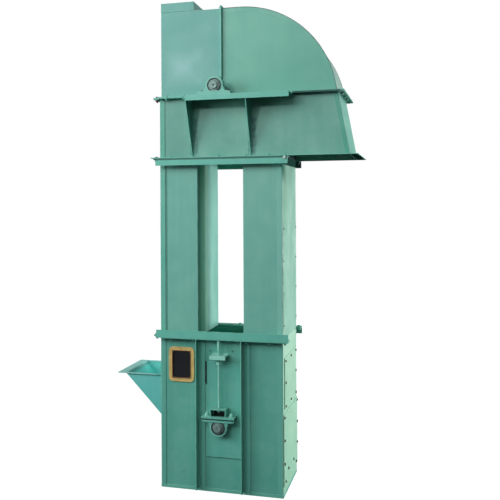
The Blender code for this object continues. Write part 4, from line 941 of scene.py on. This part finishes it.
# A dark line on the split flange under the hood's right part: painted shadow.
shade_under_hood = on_both_faces(0.540, 0.22, 2.1765, (0.128, 0.030, 0.0065))
stain_or_paint_shade(FLANGE_GREEN, (0.008, 0.075, 0.055), shade_under_hood, 0.9, 0.0015, 0.8, 60.0)
# Darker underside of the split flange's right bar: painted shade.
shade_under_right_bar = [((0.668, 0.0, 2.1735), (0.030, 0.24, 0.0035))]
stain_or_paint_shade(FLANGE_GREEN, (0.030, 0.150, 0.110), shade_under_right_bar, 0.85, 0.0015, 0.8, 60.0)
# Near black and matt on the underside of the outlet flange: painted shade.
shade_under_outlet = [((0.56, 0.0, 1.8400), (0.21, 0.26, 0.0012))]
stain_or_paint_shade(FLANGE_GREEN, (0.003, 0.012, 0.011), shade_under_outlet, 0.95, 0.0008, 0.5, 60.0, matt=True)
for name in (
        "boot_top_flange", "leg_foot_flange", "leg_top_flange", "head_foot_flange", "split_flange",
        "hood_foot_flange"):
    dressed(name, FLANGE_GREEN, width=0.001)
JOINT_BOLT = bolt(0.010, 0.0106)
PALE_BOLTS = bare_metal("pale_bolts", (0.42, 0.55, 0.50), 0.4, 0.4)
SPLIT_BOLT = bolt(0.008, 0.0106, tail=0.002)
LIP_BOLT = bolt(0.009, 0.0055, tail=0.002)
SHELF_JOINT_BOLT = bolt(0.010, 0.0159)
BAR_Y = 0.222
LEG_JOINT = 0.8553
HEAD_JOINT = 1.8453
SPLIT_TOP = 2.1833
END_BAR_X = -0.374
SPLIT_END_X = -0.3675
END_BOLT_Y = (-0.192, -0.065, 0.065, 0.192)
WELD_REACH = 0.33


def along_bars(places_x, z):
    """Where bolts are along the front bar and the back bar of a joint."""
    return [(x, side * BAR_Y, z) for x in places_x for side in SIDES]


def across_end(x, places_y, z):
    """Where bolts are along the bar at one end of a joint."""
    return [(x, y, z) for y in places_y]


for name, top in (("leg_foot_bolts", LEG_JOINT), ("leg_top_bolts", HEAD_JOINT)):
    fasten(name, JOINT_BOLT, along_bars((-0.28, -0.15, 0.0, 0.15, 0.28), top), "up", FLANGE_GREEN)
    fasten(name + "_bare", JOINT_BOLT, across_end(END_BAR_X, END_BOLT_Y, top), "up", DULL_BOLTS)
    right_end = [(0.366, -BAR_Y, top), (0.362, BAR_Y, top)]
    fasten(name + "_end", JOINT_BOLT, right_end, "up", FLANGE_GREEN)
fasten("lip_bolt", LIP_BOLT, [(0.3728, -0.25, 1.8313)], "front", PALE_BOLTS)
fasten("split_bolts", SPLIT_BOLT, along_bars((-0.30, -0.20), SPLIT_TOP), "up", FLANGE_GREEN)
over_shelf = along_bars((-0.11, 0.13, 0.24, 0.35), SPLIT_TOP)
fasten("split_shelf_bolts", SHELF_JOINT_BOLT, over_shelf, "up", FLANGE_GREEN)
split_across = across_end(SPLIT_END_X, END_BOLT_Y, SPLIT_TOP)
fasten("split_end_bolts", JOINT_BOLT, split_across, "up", DULL_BOLTS)
split_right = across_end(0.670, (-0.175, -0.06, 0.06, 0.175), SPLIT_TOP)
fasten("split_right_bolts", SPLIT_BOLT, split_right, "up", FLANGE_GREEN)
flange_welds = bmesh.new()
for z in (0.8448, 0.8556, 1.8346, 1.8458):
    for side in SIDES:
        left, right = (-WELD_REACH, side * ON_LAP, z), (WELD_REACH, side * ON_LAP, z)
        stitches(flange_welds, left, right, 6, 0.0022)
welds("flange_welds", flange_welds, FLANGE_GREEN)


# Legs
# Two square legs, each an outer channel that laps over a folded inner one, with a plain access
# plate on the right leg's outer wall.

LEG_MIDDLE = 1.345
LEG_INNER_X = 0.13
CHANNEL_FACE = 0.1967
PLATE_SIZE = (0.0016, 0.386, 0.576)
PLATE_PLACE = (0.3510, 0.0, 1.188)
PLATE_FACE = 0.3518
# A paler, greyer copy of the casing paint for the right leg's outer wall and its access plate: painted
# sheen and light on that side. Its laps on the front and back get a front tone.
LEG_END_GREEN_PAINTED_SHEEN = enamel("leg_end_green_painted_sheen", (0.18, 0.43, 0.315), mottle=0.5)
# A darker, matt patch at the top of the right leg's outer wall under the outlet: painted shadow.
leg_painted_shadow = [((0.37, -0.19, 1.80), (0.10, 0.11, 0.12))]
stain_or_paint_shade(LEG_END_GREEN_PAINTED_SHEEN, (0.04, 0.17, 0.125), leg_painted_shadow, 0.9, 0.085, 0.5, 12.0, matt=True)
stain_or_paint_shade(LEG_END_GREEN_PAINTED_SHEEN, (0.185, 0.460, 0.390), on_laps, 1.0, 0.0015, 0.3, 20.0)
leg_top_shade = [((0.37, 0.0, 1.825), (0.03, 0.1995, 0.028))]
stain_or_paint_shade(LEG_END_GREEN_PAINTED_SHEEN, (0.006, 0.030, 0.026), leg_top_shade, 0.95, 0.004, 0.8, 40.0, matt=True)
LEG_GREEN = enamel("leg_green_enamel", (0.165, 0.435, 0.36), mottle=0.5, runs=0.5)
# A dark line at the left leg's lap and a soft darker band beside it: painted shadow and painted shade.
shadow_at_lap = on_both_faces(-0.3125, SHEET_FACE, LEG_MIDDLE, (0.0065, 0.006, 0.51))
shade_beside_leg_lap = on_both_faces(-0.298, SHEET_FACE, LEG_MIDDLE, (0.040, 0.006, 0.60))
stain_or_paint_shade(LEG_GREEN, (0.035, 0.16, 0.125), shadow_at_lap, 0.75, 0.004, 1.0, 30.0)
stain_or_paint_shade(LEG_GREEN, (0.07, 0.27, 0.22), shade_beside_leg_lap, 0.45, 0.035, 0.5, 12.0)
# Brighter inner faces between the legs: painted light.
light_between_legs = [((side * LEG_INNER_X, -0.085, LEG_MIDDLE), (0.03, 0.075, 0.60)) for side in SIDES]
stain_or_paint_shade(LEG_GREEN, (0.38, 0.80, 0.62), light_between_legs, 0.7, 0.035, 0.3, 12.0)


def inner_fold(edge):
    """Whether an edge is an outer bend of a leg's inner channel."""
    first, second = (vert.co for vert in edge.verts)
    at_corner = abs(abs(first.x) - LEG_INNER_X) < AT_CORNER and abs(abs(first.y) - CHANNEL_FACE) < AT_CORNER
    return at_corner and abs(first.z - second.z) > 0.5


for side, material in (("left", SEA_GREEN), ("right", LEG_END_GREEN_PAINTED_SHEEN)):
    folded(side + "_leg_outer_wall", material)
    shape = node_shape(side + "_leg_inner_channel")
    ease(shape, 0.0036, 4, choose=inner_fold)
    ease(shape, CUT_EDGE, 2, sharpest=40)
    show(side + "_leg_inner_channel_finished", shape, LEG_GREEN, "casing", side + "_leg_inner_channel")
leg_welds = bmesh.new()
for face_side in SIDES:
    for side in SIDES:
        x, y = side * (LAP_EDGE - 0.0005), face_side * WELD_LINE
        stitches(leg_welds, (x, y, 0.88), (x, y, 1.82), 6)
welds("leg_lap_welds", leg_welds, SEA_GREEN)
access_plate = block(PLATE_SIZE, PLATE_PLACE)
show("leg_access_plate", ease(access_plate, 0.0004), LEG_END_GREEN_PAINTED_SHEEN, "casing")
plate_bolts = [(PLATE_FACE, side * 0.178, z) for side in SIDES for z in (0.925, 1.10, 1.275, 1.45)]
fasten("access_plate_bolts", bolt(0.005, 0.004, with_nut=False), plate_bolts, "right", LEG_END_GREEN_PAINTED_SHEEN)


# Head
# Sheets between folded ends on a wide foot flange. On each side an angle shelf on two tall
# gussets carries a bearing, welded on with heavy beads that left the paint rough round them.

HEAD_GREEN = enamel("head_green_enamel", (0.155, 0.40, 0.315), mottle=0.9, runs=0.5)
left_bay = on_both_faces(-0.26, SHEET_FACE, 2.0, (0.105, 0.08, 0.21))
stain_or_paint_shade(HEAD_GREEN, (0.06, 0.22, 0.19), left_bay, 0.4, 0.06, 0.4, 12.0)
scorched = [
    ((x, side * SHEET_FACE, 1.945), (0.026, 0.01, 0.120)) for x in (-0.150, 0.184) for side in SIDES
]
stain_or_paint_shade(HEAD_GREEN, (0.045, 0.175, 0.165), scorched, 0.85, 0.016, 3.4, 45.0)
HEAD_END_GREEN = enamel("head_end_green_enamel", (0.085, 0.36, 0.265), mottle=0.5, runs=0.3, thin=0.2)
folded("head_left_end", HEAD_END_GREEN)
folded("head_discharge_end", HEAD_END_GREEN)
dressed("head_front_panel", HEAD_GREEN)
dressed("head_back_panel", HEAD_GREEN)
dressed("head_floor_plate", SEA_GREEN)
# The throat plate is painted near black and almost without shine: painted shade inside the head.
INSIDE_PAINTED_SHADE = enamel("inside_painted_shade_enamel", (0.006, 0.026, 0.023), dust=0.1, shine=0.05)
dressed("head_throat_plate", INSIDE_PAINTED_SHADE)
GUSSET_LEFTS = (-0.160, 0.174)
GUSSET_WELDS = (-0.0003, 0.0053)
LONG_STITCH = 0.04
head_welds = bmesh.new()
for side, sign in FACES:
    dressed("bearing_shelf_" + side, FLANGE_GREEN, width=0.001)
    y = sign * WELD_LINE
    for x in [left + off for left in GUSSET_LEFTS for off in GUSSET_WELDS]:
        bead(head_welds, (x, y, 1.852), (x, y, 2.166), 0.0042, x * 40 + sign, 0.7)
        bead(head_welds, (x, sign * 0.21, 2.1675), (x, sign * 0.31, 2.1675), 0.0028, x * 30 + sign, 0.4)
    stitches(head_welds, (-0.155, y, 2.1674), (0.405, y, 2.1674), 7, 0.0026, LONG_STITCH)
    lap_y = sign * ON_LAP
    stitches(head_welds, (-WELD_REACH, lap_y, 1.8456), (0.70, lap_y, 1.8456), 8, 0.0024, LONG_STITCH)
    stitches(head_welds, (-0.3195, y, 1.86), (-0.3195, y, 2.16), 3)
welds("head_welds", head_welds, HEAD_GREEN)


# Hood
# A square folded cover and a round one, whose curved sheet folds over its flat sides and is sealed
# there, bolted together along a flange over the seam, with a shallow box lid on top.

GROUND_LAP_Y = 0.1974
HOOD_GREEN = enamel("hood_green_enamel", (0.125, 0.41, 0.31), mottle=0.5, runs=0.25, waves=0.6)
HOOD_TEAL = enamel("hood_teal_enamel", (0.120, 0.37, 0.32), mottle=0.4, runs=0.25, waves=0.4)
# A pale soft patch on the left cover: a painted highlight.
painted_highlight = on_both_faces(-0.21, CASING_SIDE, 2.345, (0.12, 0.16, 0.11))
stain_or_paint_shade(HOOD_TEAL, (0.42, 0.66, 0.68), painted_highlight, 0.36, 0.11, 0.3, 12.0)
for name in ("hood_right_front", "hood_right_back"):
    dressed(name, HOOD_GREEN)


def long_fold(edge):
    """Whether an edge is a long outer bend of the hood's covers."""
    length = edge.calc_length()
    return length > 0.15 and all(face.calc_area() > 0.004 for face in edge.link_faces)


for name in ("hood_left_cover", "top_hatch"):
    shape = node_shape(name)
    ease(shape, 0.0026, 4, sharpest=60, choose=long_fold)
    ease(shape, 0.0006, 2, sharpest=50)
    show(name + "_finished", shape, HOOD_TEAL, "casing", name)
curved = node_shape("hood_curved_cover")
for edge in curved.edges:
    first, second = edge.verts
    across = abs(abs(first.co.y) - abs(second.co.y))
    if 0.0025 < across < 0.0035 and edge.calc_length() < 0.0035 and abs(first.co.y) > 0.19:
        outer = first if abs(first.co.y) > abs(second.co.y) else second
        outer.co.y = math.copysign(GROUND_LAP_Y, outer.co.y)
curved = ease(curved, 0.0012, 3, sharpest=50)
# A greyer copy of the hood paint for the curved cover: painted sheen on its upward and right-facing curve.
# Its laps on the front and back get the hood's front tone.
CURVE_GREEN_PAINTED_SHEEN = enamel("curve_green_painted_sheen", (0.19, 0.36, 0.30), mottle=0.5, runs=0.25, waves=0.5)
curve_laps = on_both_faces(0.34, CASING_SIDE, 2.42, (0.40, 0.0035, 0.30))
stain_or_paint_shade(CURVE_GREEN_PAINTED_SHEEN, (0.125, 0.395, 0.305), curve_laps, 1.0, 0.001, 0.2, 20.0)
show("hood_curved_cover_finished", curved, CURVE_GREEN_PAINTED_SHEEN, "casing", "hood_curved_cover")
EDGE_SEALER = plain("edge_sealer", (0.045, 0.085, 0.070), 0.6)
SEALER_RADIUS = 0.0015
ARC_STEPS = 20
ARC_RADIUS = 0.535
curved_low, curved_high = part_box("hood_curved_cover")
arc_centre_z = curved_high[2] - ARC_RADIUS
arc_rise = curved_low[2] - arc_centre_z
arc_centre_x = curved_high[0] - math.sqrt(ARC_RADIUS ** 2 - arc_rise ** 2)
foot_turn = math.asin(arc_rise / ARC_RADIUS)
turns = [foot_turn + (math.pi / 2 - foot_turn) * step / ARC_STEPS for step in range(ARC_STEPS + 1)]
arc = [
    (arc_centre_x + ARC_RADIUS * math.cos(turn), arc_centre_z + ARC_RADIUS * math.sin(turn))
    for turn in turns
]
arc.append((curved_low[0] + 0.004, curved_high[2]))
sealer = bmesh.new()
for side in SIDES:
    run = [(x, side * CASING_SIDE, z) for x, z in arc]
    for index, (start, end) in enumerate(zip(run, run[1:])):
        bead(sealer, start, end, SEALER_RADIUS, index * 1.7 + side, 0.1)
welds("hood_edge_sealer", sealer, EDGE_SEALER)
dressed("hood_seam_flange", FLANGE_GREEN, width=0.001)
SEAM_BOLT = bolt(0.005, 0.009, tail=0.003)
SEAM_FACE = 0.0165
SEAM_BOLT_Z = 2.6675
seam_places = [(SEAM_FACE, y, SEAM_BOLT_Z) for y in (-0.196, -0.07, 0.07, 0.196)]
fasten("seam_bolts", SEAM_BOLT, seam_places, "right", FLANGE_GREEN)


# Studio
# A plain pale floor and backdrop under soft lights, with the camera where the photograph was
# taken from.

def pale_to_the_eye(tree, bright, dim):
    """A value for what the camera sees of the studio, and another for what lights the object."""
    seen = put(tree, "ShaderNodeLightPath").outputs["Is Camera Ray"]
    return mix(tree, seen, (dim, dim, dim, 1), (bright, bright, bright, 1))


floor_material, floor_tree, floor_shader = new_finish("studio_floor")
floor_shader.inputs["Roughness"].default_value = 0.9
floor_shader.inputs["Emission Strength"].default_value = 1.0
join(floor_tree, pale_to_the_eye(floor_tree, 0.10, 0.05), floor_shader.inputs["Base Color"])
join(floor_tree, pale_to_the_eye(floor_tree, 0.97, 0.0), floor_shader.inputs["Emission Color"])
FLOOR_SIZE = 30.0
FLOOR_DROP = 0.0005
floor_shape = bmesh.new()
bmesh.ops.create_grid(floor_shape, x_segments=1, y_segments=1, size=FLOOR_SIZE)
bmesh.ops.translate(floor_shape, verts=floor_shape.verts, vec=(0, 0, -FLOOR_DROP))
floor = in_scene("studio_floor", mesh_of("studio_floor", floor_shape))
floor.data.materials.append(floor_material)


def soft_light(name, place, aim, size, power):
    """A square area light aimed at a point."""
    data = bpy.data.lights.new(name, "AREA")
    data.size = size
    data.energy = power
    light = in_scene(name, data)
    light.visible_camera = False
    light.location = place
    light.rotation_euler = (Vector(aim) - Vector(place)).to_track_quat("-Z", "Y").to_euler()


soft_light("sky_light", (-0.6, -5.2, 4.4), (0.1, 0, 1.6), 3.0, 106)
soft_light("left_light", (-4.2, -3.4, 3.0), (0.1, 0, 1.5), 2.8, 185)
soft_light("glint_light", (-1.67, -4.56, 3.24), (0, 0, 2.2), 0.3, 36)
soft_light("yard_light", (5.0, 3.9, 0.9), (0.2, 0, 0.8), 2.2, 500)
soft_light("back_light", (5.0, 4.6, 4.5), (0.2, 0, 1.0), 3.0, 170)
air = bpy.data.worlds.new("studio_air")
air.use_nodes = True
air_tree = air.node_tree
air_light = air_tree.nodes["Background"]
air_place = put(air_tree, "ShaderNodeTexCoord").outputs["Generated"]
air_height = put(air_tree, "ShaderNodeSeparateXYZ", Vector=air_place).outputs[2]
air_glow = ramp(air_tree, air_height, 0.1, 1.0, 0.06, 0.60)
air_seen = put(air_tree, "ShaderNodeLightPath").outputs["Is Camera Ray"]
join(air_tree, ramp(air_tree, air_seen, 0.0, 1.0, air_glow, 1.0), air_light.inputs["Strength"])
air_light.inputs["Color"].default_value = (1.0, 1.0, 1.0, 1)
bpy.context.scene.world = air
bpy.context.scene.view_settings.view_transform = "Standard"

CAMERA_PLACE = (1.0847, -3.829, 1.5707)
CAMERA_YAW = 14.1377
CAMERA_ROLL = -0.268
CAMERA_LENS = 49.58
CAMERA_SHIFT = -0.0868
UPRIGHT = 90
camera_data = bpy.data.cameras.new("camera")
camera_data.lens = CAMERA_LENS
camera_data.sensor_width = 36.0
camera_data.shift_y = CAMERA_SHIFT
camera = in_scene("camera", camera_data)
camera.matrix_world = (
    Matrix.Translation(CAMERA_PLACE) @ Matrix.Rotation(math.radians(CAMERA_YAW), 4, "Z")
    @ Matrix.Rotation(math.radians(UPRIGHT), 4, "X") @ Matrix.Rotation(math.radians(CAMERA_ROLL), 4, "Z"))
bpy.context.scene.camera = camera
